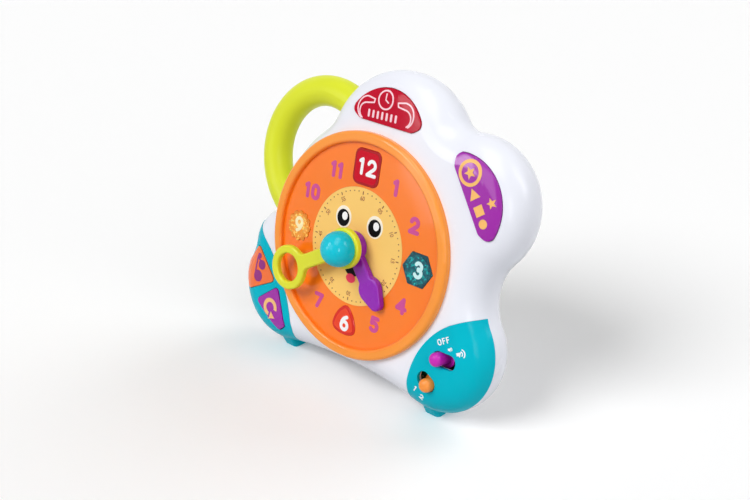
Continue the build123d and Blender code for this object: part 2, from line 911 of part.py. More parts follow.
with BuildPart() as music_button:
    add(push_button(music_face, music_stem))
music_button.part.label = "music_button"
export_step(music_button.part, "parts/music_button.step")

with BuildPart() as repeat_button:
    add(push_button(repeat_face, repeat_stem))
repeat_button.part.label = "repeat_button"
export_step(repeat_button.part, "parts/repeat_button.step")

# Switch domes
with BuildPart() as top_dome:
    dome(top_stem)
top_dome.part.label = "top_dome"
export_step(top_dome.part, "parts/top_dome.step")

with BuildPart() as side_dome:
    dome(side_stem)
side_dome.part.label = "side_dome"
export_step(side_dome.part, "parts/side_dome.step")

with BuildPart() as left_domes:
    dome(music_stem)
    dome(repeat_stem)
left_domes.part.label = "left_domes"
export_step(left_domes.part, "parts/left_domes.step")

# Switch boards
with BuildPart() as top_board:
    add(small_board(*top_stem, 0, moon_board, small_board_width, top_posts))
top_board.part.label = "top_board"
export_step(top_board.part, "parts/top_board.step")

with BuildPart() as side_board:
    add(small_board(*side_stem, side_button_turn, moon_board, small_board_width, side_posts))
side_board.part.label = "side_board"
export_step(side_board.part, "parts/side_board.step")

with BuildPart() as left_board:
    add(small_board(left_x, left_u, left_turn, left_board_length, small_board_width, left_posts))
left_board.part.label = "left_board"
export_step(left_board.part, "parts/left_board.step")

with BuildPart() as slide_board:
    with BuildSketch(level(slide_board_front - board_thickness)):
        with Locations((slide_board_x, slide_board_u)):
            RectangleRounded(slide_board_width, slide_board_height, slide_board_corner)
    extrude(amount=board_thickness)
    for at in slide_posts:
        post(*at, screw_hole_r, slide_board_front - board_thickness, slide_board_front, mode=Mode.SUBTRACT)
slide_board.part.label = "slide_board"
export_step(slide_board.part, "parts/slide_board.step")

# Slide switches
with BuildPart() as volume_knob:
    add(slide_knob(volume_x, volume_u, volume_turn))
volume_knob.part.label = "volume_knob"
export_step(volume_knob.part, "parts/volume_knob.step")

with BuildPart() as volume_wiper:
    add(wiper(volume_x, volume_u, volume_turn))
volume_wiper.part.label = "volume_wiper"
export_step(volume_wiper.part, "parts/volume_wiper.step")

with BuildPart() as mode_knob:
    add(slide_knob(mode_x, mode_u, mode_turn))
mode_knob.part.label = "mode_knob"
export_step(mode_knob.part, "parts/mode_knob.step")

with BuildPart() as mode_wiper:
    add(wiper(mode_x, mode_u, mode_turn))
mode_wiper.part.label = "mode_wiper"
export_step(mode_wiper.part, "parts/mode_wiper.step")

# Dial plate with its raised rim, face pocket and tile pockets
with BuildSketch() as square_tile_face:
    with Locations((0, numeral_r)):
        RectangleRounded(square_tile_width, square_tile_height, square_tile_corner)
with BuildSketch() as hexagon_tile_face:
    with Locations((numeral_r, 0)):
        RegularPolygon(hexagon_tile_r, 6)
    fillet(hexagon_tile_face.vertices(), hexagon_tile_corner)
with BuildSketch() as triangle_tile_face:
    triangle_u = triangle_tile_rise - numeral_r
    with Locations((0, triangle_u)):
        Circle(2 * triangle_tile_r)
    for corner in (90, 210, 330):
        across = triangle_tile_r * cos(radians(corner))
        with Locations((across, triangle_u + triangle_tile_r * sin(radians(corner)))):
            Circle(triangle_tile_r * sqrt(3), mode=Mode.INTERSECT)
    fillet(triangle_tile_face.vertices(), triangle_tile_corner)
with BuildSketch() as sun_tile_face:
    with Locations((-numeral_r, 0)):
        Circle(sun_tile_r)
        with PolarLocations(sun_scallop_at, sun_tile_scallops):
            Circle(sun_scallop_r)
tile_faces = [
    square_tile_face.sketch, hexagon_tile_face.sketch, triangle_tile_face.sketch, sun_tile_face.sketch
]
tile_pockets = [slab(grown(face, fixed_gap), dial_field - tile_sunk, sky) for face in tile_faces]
with BuildPart() as dial_plate:
    post(0, 0, dial_r, dial_plate_back, dial_rim_top)
    post(0, 0, dial_r - dial_rim, dial_field, dial_rim_top, mode=Mode.SUBTRACT)
    rim_edges = dial_plate.faces().sort_by(dial_axis)[-1].edges().sort_by(SortBy.LENGTH)
    fillet(rim_edges[-1], rim_outer_round)
    fillet(rim_edges[0], rim_inner_round)
    post(0, 0, face_r + fixed_gap, dial_field - face_thickness, sky, mode=Mode.SUBTRACT)
    post(0, 0, neck_r + fixed_gap, dial_plate_back, sky, mode=Mode.SUBTRACT)
    for pocket in tile_pockets:
        add(pocket, mode=Mode.SUBTRACT)
    for at in dial_screws_at:
        post(*at, screw_r + pilot_gap, dial_plate_back, dial_screw_tip + pilot_gap, mode=Mode.SUBTRACT)
dial_plate.part.label = "dial_plate"
export_step(dial_plate.part, "parts/dial_plate.step")

with BuildPart() as face_disc:
    post(0, 0, face_r, dial_field - face_thickness, dial_field + face_proud)
    post(0, 0, neck_r + fixed_gap, dial_field - face_thickness, sky, mode=Mode.SUBTRACT)
face_disc.part.label = "face_disc"
export_step(face_disc.part, "parts/face_disc.step")

# Numeral tiles let into the dial
with BuildPart() as square_tile:
    with BuildSketch(level(dial_field - tile_sunk)):
        add(tile_faces[0])
    extrude(amount=tile_sunk + tile_proud)
    chamfer(square_tile.faces().sort_by(dial_axis)[-1].edges(), tile_edge)
square_tile.part.label = "square_tile"
export_step(square_tile.part, "parts/square_tile.step")

with BuildPart() as hexagon_tile:
    with BuildSketch(level(dial_field - tile_sunk)):
        add(tile_faces[1])
    extrude(amount=tile_sunk + tile_proud)
    chamfer(hexagon_tile.faces().sort_by(dial_axis)[-1].edges(), tile_edge)
hexagon_tile.part.label = "hexagon_tile"
export_step(hexagon_tile.part, "parts/hexagon_tile.step")

with BuildPart() as triangle_tile:
    with BuildSketch(level(dial_field - tile_sunk)):
        add(tile_faces[2])
    extrude(amount=tile_sunk + tile_proud)
    chamfer(triangle_tile.faces().sort_by(dial_axis)[-1].edges(), tile_edge)
triangle_tile.part.label = "triangle_tile"
export_step(triangle_tile.part, "parts/triangle_tile.step")

with BuildPart() as sun_tile:
    with BuildSketch(level(dial_field - tile_sunk)):
        add(tile_faces[3])
    extrude(amount=tile_sunk + tile_proud)
sun_tile.part.label = "sun_tile"
export_step(sun_tile.part, "parts/sun_tile.step")

with BuildPart() as dial_screws:
    for at in dial_screws_at:
        screw(*at, dial_post_end, dial_screw_tip)
dial_screws.part.label = "dial_screws"
export_step(dial_screws.part, "parts/dial_screws.step")

# Minute hand: hub, arm and finger ring
minute_turn = 90 - minute_angle
flats = double_flat_face(arbor_r + pilot_gap, arbor_flat + pilot_gap)
flat_bore = slab(moved(flats, 0, 0, minute_turn), minute_low, knob_bore_end)
with BuildSketch() as minute_face:
    Circle(minute_hub_r)
    with Locations((minute_ring_place / 2, 0)):
        Rectangle(minute_ring_place, minute_arm_width)
    with Locations((minute_ring_place, 0)):
        Circle(minute_ring_r)
    fillet(minute_face.vertices(), minute_web_r)
    with Locations((minute_ring_place, 0)):
        Circle(minute_ring_hole_r, mode=Mode.SUBTRACT)
with BuildPart() as minute_hand:
    with BuildSketch(level(minute_low)):
        add(moved(minute_face.sketch, 0, 0, minute_turn))
    extrude(amount=minute_top - minute_low)
    fillet(minute_hand.faces().sort_by(dial_axis)[-1].edges(), hand_round)
    fillet(minute_hand.faces().sort_by(dial_axis)[0].edges(), hand_back_round)
    add(flat_bore, mode=Mode.SUBTRACT)
minute_hand.part.label = "minute_hand"
export_step(minute_hand.part, "parts/minute_hand.step")

# Centre knob: a ball cut flat where it meets the minute hand
knob_base = minute_top
with BuildPart() as centre_knob:
    with Locations(place(0, 0, knob_centre)):
        Sphere(knob_r)
    split(bisect_by=level(knob_base), keep=Keep.TOP)
    add(flat_bore, mode=Mode.SUBTRACT)
centre_knob.part.label = "centre_knob"
export_step(centre_knob.part, "parts/centre_knob.step")

# Hour hand: hub, neck and leaf-shaped blade
hour_turn = 90 - hour_angle
with BuildSketch() as blade_face:
    with Locations((hour_belly_at, 0)):
        Circle(hour_belly_r)
    with Locations((hour_tip_at, 0)):
        Circle(hour_tip_r)
    make_hull()
    with Locations((hour_belly_at / 2, 0)):
        Rectangle(hour_belly_at, hour_neck)
    fillet(blade_face.vertices().sort_by(Axis.X)[2:4], hour_waist_r)
with BuildPart() as hour_hand:
    with BuildSketch(level(hour_low)):
        add(moved(blade_face.sketch, 0, 0, hour_turn))
    extrude(amount=hour_blade_top - hour_low)
    fillet(hour_hand.faces().sort_by(dial_axis)[-1].edges(), hand_round)
    post(0, 0, hour_hub_r, hour_low, hour_top)
    fillet(hour_hand.faces().sort_by(dial_axis)[-1].edges(), hand_round)
    post(0, 0, pipe_r + pilot_gap, hour_low, hour_top, mode=Mode.SUBTRACT)
hour_hand.part.label = "hour_hand"
export_step(hour_hand.part, "parts/hour_hand.step")

# Minute arbor with its pinion, in one turned and cut piece
toward = 90
with BuildPart() as minute_arbor:
    post(0, 0, pivot_r, arbor_end, minute_wheel_back)
    post(0, 0, arbor_r + shaft_gap, case_back + shaft_gap, minute_wheel_back)
    post(0, 0, arbor_r, minute_wheel_back, minute_low)
    with BuildSketch(level(minute_wheel_back)):
        add(gear_face(minute_teeth, toward))
    extrude(amount=pinion_front - minute_wheel_back)
    with BuildSketch(level(minute_low)):
        add(moved(double_flat_face(arbor_r, arbor_flat), 0, 0, minute_turn))
    extrude(amount=knob_bore_end - pilot_gap - minute_low)
minute_arbor.part.label = "minute_arbor"
export_step(minute_arbor.part, "parts/minute_arbor.step")

with BuildPart() as arbor_clip:
    post(0, 0, clip_r, clip_back, clip_back + clip_thickness)
    post(0, 0, pivot_r + pilot_gap, clip_back, clip_back + clip_thickness, mode=Mode.SUBTRACT)
arbor_clip.part.label = "arbor_clip"
export_step(arbor_clip.part, "parts/arbor_clip.step")

# Hour wheel on its pipe
with BuildPart() as hour_wheel:
    with BuildSketch(level(hour_wheel_front - wheel_thickness)):
        add(gear_face(hour_teeth, toward + 180 / hour_teeth))
    extrude(amount=wheel_thickness)
    post(0, 0, collar_r, hour_wheel_front, case_front - case_plate - end_play)
    post(0, 0, pipe_r, hour_wheel_front, hour_top)
    post(0, 0, arbor_r + shaft_gap, hour_wheel_front - wheel_thickness, hour_top, mode=Mode.SUBTRACT)
hour_wheel.part.label = "hour_wheel"
export_step(hour_wheel.part, "parts/hour_wheel.step")

# Intermediate gear: large wheel and small pinion in one, on a fixed pin
with BuildPart() as intermediate_gear:
    with BuildSketch(level(minute_wheel_back)):
        add(moved(gear_face(intermediate_teeth, -toward + 180 / intermediate_teeth), 0, intermediate_u))
    extrude(amount=minute_wheel_front - minute_wheel_back)
    with BuildSketch(level(minute_wheel_front)):
        add(moved(gear_face(small_teeth, -toward), 0, intermediate_u))
    extrude(amount=case_front - case_plate - end_play - minute_wheel_front)
    post(0, intermediate_u, hub_r, case_back + end_play, minute_wheel_back)
    post(0, intermediate_u, pin_r + shaft_gap, case_back, case_front, mode=Mode.SUBTRACT)
intermediate_gear.part.label = "intermediate_gear"
export_step(intermediate_gear.part, "parts/intermediate_gear.step")

with BuildPart() as intermediate_pin:
    post(0, intermediate_u, pin_r, case_back - pin_seat, case_front - case_plate + pin_seat)
intermediate_pin.part.label = "intermediate_pin"
export_step(intermediate_pin.part, "parts/intermediate_pin.step")

# Gear case with the neck that carries the hour pipe, and its cover
with BuildSketch() as case_face:
    with Locations(Location((0, intermediate_u / 2, 0), (0, 0, 90))):
        SlotCenterToCenter(intermediate_u, 2 * case_r)
    with Locations(*case_screws_at):
        Circle(case_lug_r)
with BuildSketch() as case_room_face:
    with Locations(Location((0, intermediate_u / 2, 0), (0, 0, 90))):
        SlotCenterToCenter(intermediate_u, 2 * (case_r - case_wall))
case_room = slab(case_room_face.sketch, case_back, case_front - case_plate)
with BuildPart() as gear_case:
    add(slab(case_face.sketch, case_back, case_front))
    add(case_room, mode=Mode.SUBTRACT)
    post(0, 0, neck_r, case_front - case_plate, neck_top)
    post(0, 0, pipe_r + shaft_gap, case_front - case_plate, neck_top, mode=Mode.SUBTRACT)
    post(0, intermediate_u, pin_r + pilot_gap,
         case_front - case_plate, case_front - case_plate + pin_seat + pilot_gap, mode=Mode.SUBTRACT)
    for at in case_screws_at:
        post(*at, screw_hole_r, case_back, case_front, mode=Mode.SUBTRACT)
gear_case.part.label = "gear_case"
export_step(gear_case.part, "parts/gear_case.step")

with BuildPart() as case_cover:
    add(slab(case_face.sketch, case_back - case_plate, case_back))
    post(0, 0, pivot_r + shaft_gap, case_back - case_plate, case_back, mode=Mode.SUBTRACT)
    post(0, intermediate_u, pin_r + pilot_gap, case_back - pin_seat - pilot_gap, case_back,
         mode=Mode.SUBTRACT)
    for at in case_screws_at:
        post(*at, screw_hole_r, case_back - case_plate, case_back, mode=Mode.SUBTRACT)
case_cover.part.label = "case_cover"
export_step(case_cover.part, "parts/case_cover.step")

with BuildPart() as case_screws:
    for at in case_screws_at:
        screw(*at, case_back - case_plate, case_screw_tip)
case_screws.part.label = "case_screws"
export_step(case_screws.part, "parts/case_screws.step")

# Main board with its parts
with BuildPart() as main_board:
    with BuildSketch(level(main_board_front - board_thickness)):
        with Locations((0, main_board_u)):
            RectangleRounded(main_board_width, main_board_height, board_corner)
    extrude(amount=board_thickness)
    for at in main_posts:
        post(*at, screw_hole_r, main_board_front - board_thickness, main_board_front, mode=Mode.SUBTRACT)
main_board.part.label = "main_board"
export_step(main_board.part, "parts/main_board.step")

board_back = main_board_front - board_thickness
with BuildPart() as board_parts:
    post(0, main_board_u, chip_r, board_back - chip_height, board_back)
    for x in (-1, 1):
        post(x * capacitor_x, main_board_u + capacitor_u, capacitor_r,
             board_back - capacitor_height, board_back)
board_parts.part.label = "board_parts"
export_step(board_parts.part, "parts/board_parts.step")

with BuildPart() as board_screws:
    for at in main_posts:
        screw(*at, board_back, main_board_front + screw_bite - pilot_gap)
    for at in small_posts:
        screw(*at, small_board_front - board_thickness, small_board_front + screw_bite - pilot_gap)
    for at in slide_posts:
        screw(*at, slide_board_front - board_thickness, slide_screw_tip)
board_screws.part.label = "board_screws"
export_step(board_screws.part, "parts/board_screws.step")

# Speaker and its clamp ring
with BuildPart() as speaker:
    post(speaker_x, speaker_u, speaker_r, inner_back, inner_back + speaker_rim)
    with Locations(place(speaker_x, speaker_u, inner_back + speaker_rim)):
        Cone(basket_r, magnet_r, basket_height, align=(Align.CENTER, Align.CENTER, Align.MIN))
    magnet_back = inner_back + speaker_rim + basket_height
    post(speaker_x, speaker_u, magnet_r, magnet_back, magnet_back + magnet_height)
speaker.part.label = "speaker"
export_step(speaker.part, "parts/speaker.step")

with BuildPart() as speaker_clamp:
    post(speaker_x, speaker_u, speaker_r + speaker_fence,
         speaker_clamp_back, speaker_clamp_back + clamp_thickness)
    for at in speaker_screws_at:
        post(*at, post_r, speaker_clamp_back, speaker_clamp_back + clamp_thickness)
    post(speaker_x, speaker_u, basket_r + speaker_gap,
         speaker_clamp_back, speaker_clamp_back + clamp_thickness, mode=Mode.SUBTRACT)
    for at in speaker_screws_at:
        post(*at, screw_hole_r, speaker_clamp_back, speaker_clamp_back + clamp_thickness, mode=Mode.SUBTRACT)
speaker_clamp.part.label = "speaker_clamp"
export_step(speaker_clamp.part, "parts/speaker_clamp.step")

with BuildPart() as speaker_screws:
    clamp_front = speaker_clamp_back + clamp_thickness
    for at in speaker_screws_at:
        post(*at, screw_head_r, clamp_front, clamp_front + screw_head)
        post(*at, screw_r, speaker_screw_tip + pilot_gap, clamp_front + screw_head / 2)
speaker_screws.part.label = "speaker_screws"
export_step(speaker_screws.part, "parts/speaker_screws.step")

# Battery cells, end contacts and door
with BuildPart() as cells:
    for i, u in enumerate(cells_at):
        way = 1 if i % 2 else -1
        with Locations(level(cell_h).location * Location((-way * nub_length / 2, u, 0), (0, 90, 0))):
            Cylinder(cell_r, cell_length - nub_length)
        nub_x = way * (cell_length / 2 - nub_length)
        with Locations(level(cell_h).location * Location((nub_x, u, 0), (0, 90, 0))):
            Cylinder(nub_r, 2 * nub_length)
cells.part.label = "cells"
export_step(cells.part, "parts/cells.step")

spring_length = (pocket_width - cell_length) / 2 - contact_plate - pilot_gap
with BuildPart() as battery_contacts:
    for u in cells_at:
        for side in (-1, 1):
            outward = (0, side * 90, 0)
            at_wall = (side * (pocket_width / 2 - contact_plate / 2), u, 0)
            at_spring = (side * (cell_length / 2 + pilot_gap + spring_length / 2), u, 0)
            with Locations(level(cell_h).location * Location(at_wall, outward)):
                Box(contact_size, contact_size, contact_plate)
            with Locations(level(cell_h).location * Location(at_spring, outward)):
                Cone(spring_tip_r, spring_foot_r, spring_length)
battery_contacts.part.label = "battery_contacts"
export_step(battery_contacts.part, "parts/battery_contacts.step")

with BuildPart() as battery_door:
    with BuildSketch(level(bulge_back)):
        with Locations((0, cell_u)):
            RectangleRounded(door_width, door_height, door_corner)
    extrude(amount=door_thickness - fixed_gap)
    for x in (-door_screw_x, door_screw_x):
        post(x, cell_u, screw_hole_r, bulge_back, bulge_back + door_thickness, mode=Mode.SUBTRACT)
        post(x, cell_u, screw_head_r + screw_gap, bulge_back, bulge_back + screw_head, mode=Mode.SUBTRACT)
battery_door.part.label = "battery_door"
export_step(battery_door.part, "parts/battery_door.step")

with BuildPart() as door_screws:
    for x in (-door_screw_x, door_screw_x):
        screw(x, cell_u, bulge_back + screw_head, door_screw_tip)
door_screws.part.label = "door_screws"
export_step(door_screws.part, "parts/door_screws.step")
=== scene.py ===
import json
from math import atan2, cos, degrees, hypot, radians, sin, sqrt

import bmesh
import bpy
from mathutils import Matrix, Vector
from mathutils.bvhtree import BVHTree


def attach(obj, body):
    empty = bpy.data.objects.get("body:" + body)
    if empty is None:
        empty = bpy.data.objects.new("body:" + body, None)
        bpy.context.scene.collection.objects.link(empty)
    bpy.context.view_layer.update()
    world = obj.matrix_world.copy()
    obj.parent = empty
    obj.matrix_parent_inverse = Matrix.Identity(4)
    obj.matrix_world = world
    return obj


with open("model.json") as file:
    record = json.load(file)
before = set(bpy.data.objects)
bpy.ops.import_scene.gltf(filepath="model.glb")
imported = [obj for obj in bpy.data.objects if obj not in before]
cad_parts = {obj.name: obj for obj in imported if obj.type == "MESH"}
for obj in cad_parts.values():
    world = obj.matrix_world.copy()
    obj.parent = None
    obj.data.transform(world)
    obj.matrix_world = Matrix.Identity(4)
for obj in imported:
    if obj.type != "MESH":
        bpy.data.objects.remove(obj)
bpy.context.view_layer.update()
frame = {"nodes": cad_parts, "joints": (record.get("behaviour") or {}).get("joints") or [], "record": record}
NODES = frame["nodes"]

# The dial's own frame in millimetres, from the minute hand's joint: x right, u up the dial, h out of it
minute_joint = next(joint for joint in frame["joints"] if joint["name"] == "minute_turn")
CENTRE = Vector(minute_joint["pos_m"])
OUT = Vector(minute_joint["axis"]).normalized()
ACROSS = Vector((1, 0, 0))
UP = OUT.cross(ACROSS)
MM = 0.001
DIAL = Matrix.Translation(CENTRE) @ Matrix((ACROSS, UP, OUT)).transposed().to_4x4() @ Matrix.Scale(MM, 4)
HOUR_ANGLE = 30
MINUTE_ANGLE = 6


def around(x, u, turn=0.0, size=1.0):
    """Place on the dial for a shape drawn about the origin, turned by degrees."""
    return Matrix.Translation((x, u, 0)) @ Matrix.Rotation(radians(turn), 4, "Z") @ Matrix.Scale(size, 4)


def clock_place(radius, angle):
    """Point on the dial at a radius, so many degrees clockwise from the twelve."""
    return radius * sin(radians(angle)), radius * cos(radians(angle))


# Steps that the materials share

WHOLE = (0.0, 1.0)
NOISE_SPAN = (0.3, 0.7)


def new_group(name, inputs, outputs):
    """Shader group with named sockets, what it is given and what it makes."""
    group = bpy.data.node_groups.new(name, "ShaderNodeTree")
    for label, kind, value in inputs:
        socket = group.interface.new_socket(label, in_out="INPUT", socket_type=kind)
        socket.default_value = value
    for label, kind in outputs:
        group.interface.new_socket(label, in_out="OUTPUT", socket_type=kind)
    return group, group.nodes.new("NodeGroupInput").outputs, group.nodes.new("NodeGroupOutput").inputs


def feed(tree, socket, value):
    """Joins another node's output to a socket, or sets a plain value on it."""
    if isinstance(value, bpy.types.NodeSocket):
        tree.links.new(value, socket)
    else:
        socket.default_value = value


def feed_named(tree, node, values):
    """Feeds a node's sockets by their names."""
    for label, value in values.items():
        feed(tree, node.inputs[label], value)


def object_place(tree):
    """Place of a point in the object's own metres."""
    return tree.nodes.new("ShaderNodeTexCoord").outputs["Object"]


def noise(tree, where, scale, detail):
    """Cloudy noise with about so many clouds to the metre."""
    node = tree.nodes.new("ShaderNodeTexNoise")
    feed_named(tree, node, {"Vector": where, "Scale": scale, "Detail": detail})
    return node.outputs["Fac"]


def cells(tree, where, scale):
    """Uneven cells, about so many to the metre."""
    node = tree.nodes.new("ShaderNodeTexVoronoi")
    feed_named(tree, node, {"Vector": where, "Scale": scale})
    return node.outputs


def ranged(tree, source, low, high, span=NOISE_SPAN):
    """A mask carried from a span of values to the range from low to high."""
    node = tree.nodes.new("ShaderNodeMapRange")
    feed_named(tree, node, {"Value": source, "From Min": span[0], "From Max": span[1]})
    feed_named(tree, node, {"To Min": low, "To Max": high})
    return node.outputs["Result"]


def mixed(tree, factor, first, second, blend="MIX"):
    """Two colours mixed by a mask."""
    node = tree.nodes.new("ShaderNodeMix")
    node.data_type = "RGBA"
    node.blend_type = blend
    # The colour sockets share their names with others of the node, so they are taken by their places
    for socket, value in ((node.inputs[0], factor), (node.inputs[6], first), (node.inputs[7], second)):
        feed(tree, socket, value)
    return node.outputs[2]


def maths(tree, operation, *values, kind="ShaderNodeMath"):
    """What a maths node makes of some values."""
    node = tree.nodes.new(kind)
    node.operation = operation
    for socket, value in zip(node.inputs, values):
        feed(tree, socket, value)
    return node.outputs


def vector_maths(tree, operation, *values):
    """What a vector maths node makes of some values."""
    return maths(tree, operation, *values, kind="ShaderNodeVectorMath")


def bumped(tree, height, strength, distance):
    """Normal from a height."""
    node = tree.nodes.new("ShaderNodeBump")
    feed_named(tree, node, {"Height": height, "Strength": strength, "Distance": distance})
    return node.outputs["Normal"]


def linear(red, green, blue):
    """Colour as seen on screen, 0 to 255, as a shader colour by the sRGB curve."""
    parts = []
    for value in (red, green, blue):
        share = value / 255
        parts.append(share / 12.92 if share <= 0.04045 else ((share + 0.055) / 1.055) ** 2.4)
    return (*parts, 1)


def shader(name):
    """New material, its tree and its Principled shader."""
    material = bpy.data.materials.new(name)
    material.use_nodes = True
    return material, material.node_tree, material.node_tree.nodes["Principled BSDF"]


def covered(tree, surface, group, values):
    """Adds a shader group and joins what it makes to the surface's sockets of the same names."""
    node = tree.nodes.new("ShaderNodeGroup")
    node.node_tree = group
    feed_named(tree, node, values)
    for made in node.outputs:
        tree.links.new(made, surface.inputs[made.name])


# Moulded plastic and glitter, as shader groups

DRIFT_SHADE = (0.55, 0.55, 0.6, 1)
GRAIN_DEPTH = 0.04 * MM
FLAKE_DEPTH = 0.1 * MM


def moulded_skin_group():
    """Moulded plastic: slow colour drift, hand smudges in the gloss and a very fine grain."""
    group, given, makes = new_group(
        "moulded_skin",
        [
            ("Colour", "NodeSocketColor", (0.8, 0.8, 0.8, 1)),
            ("Drift", "NodeSocketFloat", 0.04),
            ("Roughness", "NodeSocketFloat", 0.3),
            ("Smudge", "NodeSocketFloat", 0.06),
            ("Grain", "NodeSocketFloat", 0.1),
        ],
        [("Base Color", "NodeSocketColor"), ("Roughness", "NodeSocketFloat"), ("Normal", "NodeSocketVector")],
    )
    where = object_place(group)
    drift = ranged(group, noise(group, where, scale=22, detail=2), 0.0, given["Drift"])
    darker = mixed(group, 1.0, given["Colour"], DRIFT_SHADE, "MULTIPLY")
    smudge = ranged(group, noise(group, where, scale=70, detail=3), 0.0, 1.0)
    roughness = maths(group, "MULTIPLY_ADD", smudge, given["Smudge"], given["Roughness"])["Value"]
    grain = noise(group, where, scale=1800, detail=1)
    feed(group, makes["Base Color"], mixed(group, drift, given["Colour"], darker))
    feed(group, makes["Roughness"], roughness)
    feed(group, makes["Normal"], bumped(group, grain, given["Grain"], GRAIN_DEPTH))
    return group


def glitter_group():
    """Flakes of glitter set in a clear tinted moulding, each with its own brightness and tilt."""
    group, given, makes = new_group(
        "glitter_flakes",
        [
            ("Base", "NodeSocketColor", (0.8, 0.8, 0.8, 1)),
            ("Flake", "NodeSocketColor", (1, 1, 1, 1)),
            ("Share", "NodeSocketFloat", 0.5),
        ],
        [
            ("Base Color", "NodeSocketColor"),
            ("Metallic", "NodeSocketFloat"),
            ("Roughness", "NodeSocketFloat"),
            ("Normal", "NodeSocketVector"),
        ],
    )
    chance = group.nodes.new("ShaderNodeSeparateColor")
    feed(group, chance.inputs["Color"], cells(group, object_place(group), scale=780)["Color"])
    is_flake = maths(group, "LESS_THAN", chance.outputs["Red"], given["Share"])["Value"]
    strength = maths(group, "MULTIPLY", is_flake, chance.outputs["Green"])["Value"]
    tilt = chance.outputs["Blue"]
    feed(group, makes["Base Color"], mixed(group, strength, given["Base"], given["Flake"]))
    feed(group, makes["Metallic"], ranged(group, strength, 0.0, 0.7, WHOLE))
    feed(group, makes["Roughness"], ranged(group, tilt, 0.18, 0.42, WHOLE))
    feed(group, makes["Normal"], bumped(group, tilt, 0.25, FLAKE_DEPTH))
    return group


MOULDED = moulded_skin_group()
GLITTER = glitter_group()

# Materials

# Where the dial's hollow rim begins, and with it the rim's painted glow, as distances from its middle in
# metres
RIM_SPAN = (0.0705, 0.0735)
# Share of its brightness that a metal keeps in its streaks
STREAK_SHADE = 0.7


def plastic(name, colour, roughness=0.3, coat=0.0, drift=0.1, smudge=0.05, grain=0.12, shine=0.3):
    """Moulded plastic in one colour."""
    material, tree, surface = shader(name)
    skin = {
        "Colour": linear(*colour),
        "Drift": drift,
        "Roughness": roughness,
        "Smudge": smudge,
        "Grain": grain,
    }
    covered(tree, surface, MOULDED, skin)
    feed_named(tree, surface, {"Specular IOR Level": shine, "Coat Weight": coat, "Coat Roughness": 0.08})
    return material


def dial_plastic(name, field_colour, rim_glow_colour):
    """Moulded plastic whose hollow rim is painted lighter than its solid field, a painted glow that stands in
    for the light let through the thin rim.
    """
    material = plastic(name, field_colour, 0.28, coat=0.5, shine=0.2)
    tree = material.node_tree
    skin = next(node for node in tree.nodes if node.type == "GROUP")
    from_centre = vector_maths(tree, "SUBTRACT", object_place(tree), CENTRE)["Vector"]
    off_axis = vector_maths(tree, "CROSS_PRODUCT", from_centre, OUT)["Vector"]
    radius = vector_maths(tree, "LENGTH", off_axis)["Value"]
    rim_glow = ranged(tree, radius, 0.0, 1.0, RIM_SPAN)
    feed(tree, skin.inputs["Colour"], mixed(tree, rim_glow, linear(*field_colour), linear(*rim_glow_colour)))
    return material


def glitter(name, base, flake, share):
    """Clear moulding with glitter in it."""
    material, tree, surface = shader(name)
    covered(tree, surface, GLITTER, {"Base": linear(*base), "Flake": linear(*flake), "Share": share})
    feed_named(tree, surface, {"Specular IOR Level": 0.2, "Coat Weight": 0.25, "Coat Roughness": 0.06})
    return material


def metal(name, colour, roughness):
    """Plated metal with faint drawn streaks."""
    material, tree, surface = shader(name)
    streak = noise(tree, object_place(tree), scale=900, detail=4)
    streaked = linear(*(int(part * STREAK_SHADE) for part in colour))
    tone = mixed(tree, ranged(tree, streak, 0.0, 0.35), linear(*colour), streaked)
    uneven = ranged(tree, streak, roughness, roughness + 0.15)
    feed_named(tree, surface, {"Base Color": tone, "Roughness": uneven, "Metallic": 1.0})
    return material


def circuit_board(name):
    """Solder mask with tracks under it and tinned spots."""
    material, tree, surface = shader(name)
    where = object_place(tree)
    tracks = tree.nodes.new("ShaderNodeTexBrick")
    feed_named(tree, tracks, {"Vector": where, "Scale": 260, "Mortar Size": 0.03})
    mask = mixed(tree, tracks.outputs["Fac"], linear(28, 96, 52), linear(44, 128, 70))
    tinned = ranged(tree, cells(tree, where, scale=330)["Distance"], 1.0, 0.0, span=(0.16, 0.22))
    tone = mixed(tree, tinned, mask, linear(196, 198, 200))
    feed_named(tree, surface, {"Base Color": tone, "Roughness": ranged(tree, tinned, 0.45, 0.25, WHOLE)})
    return material


SHELL_WHITE = plastic("shell_white", (240, 242, 251), 0.26, coat=0.12, drift=0.02, smudge=0.015, shine=0.2)
PANEL_TEAL = plastic("panel_teal", (0, 188, 208), 0.2, coat=0.1, shine=0.02)
HANDLE_LIME = plastic("handle_lime", (224, 232, 44), 0.34, shine=0.25)
# The dial's second colour is the painted glow of its rim
DIAL_ORANGE = dial_plastic("dial_orange", (255, 125, 14), (255, 153, 46))
FACE_YELLOW = plastic("face_yellow", (253, 206, 114), 0.4, shine=0.2)
MINUTE_YELLOW = plastic("minute_yellow", (226, 228, 44), 0.32, coat=0.1)
HOUR_PURPLE = plastic("hour_purple", (146, 20, 180), 0.25, coat=0.4, shine=0.15)
KNOB_TEAL = plastic("knob_teal", (0, 200, 220), 0.2, coat=0.45, shine=0.0)
BUTTON_RED = plastic("button_red", (196, 0, 42), 0.08, coat=0.28, shine=0.0)
BUTTON_PURPLE = plastic("button_purple", (160, 10, 168), 0.16, coat=0.6, shine=0.15)
BUTTON_ORANGE = plastic("button_orange", (252, 118, 54), 0.2, coat=0.3, shine=0.15)
PEG_MAGENTA = plastic("peg_magenta", (206, 34, 186), 0.28, coat=0.2, shine=0.2)
PEG_ORANGE = plastic("peg_orange", (255, 150, 50), 0.28, coat=0.3)
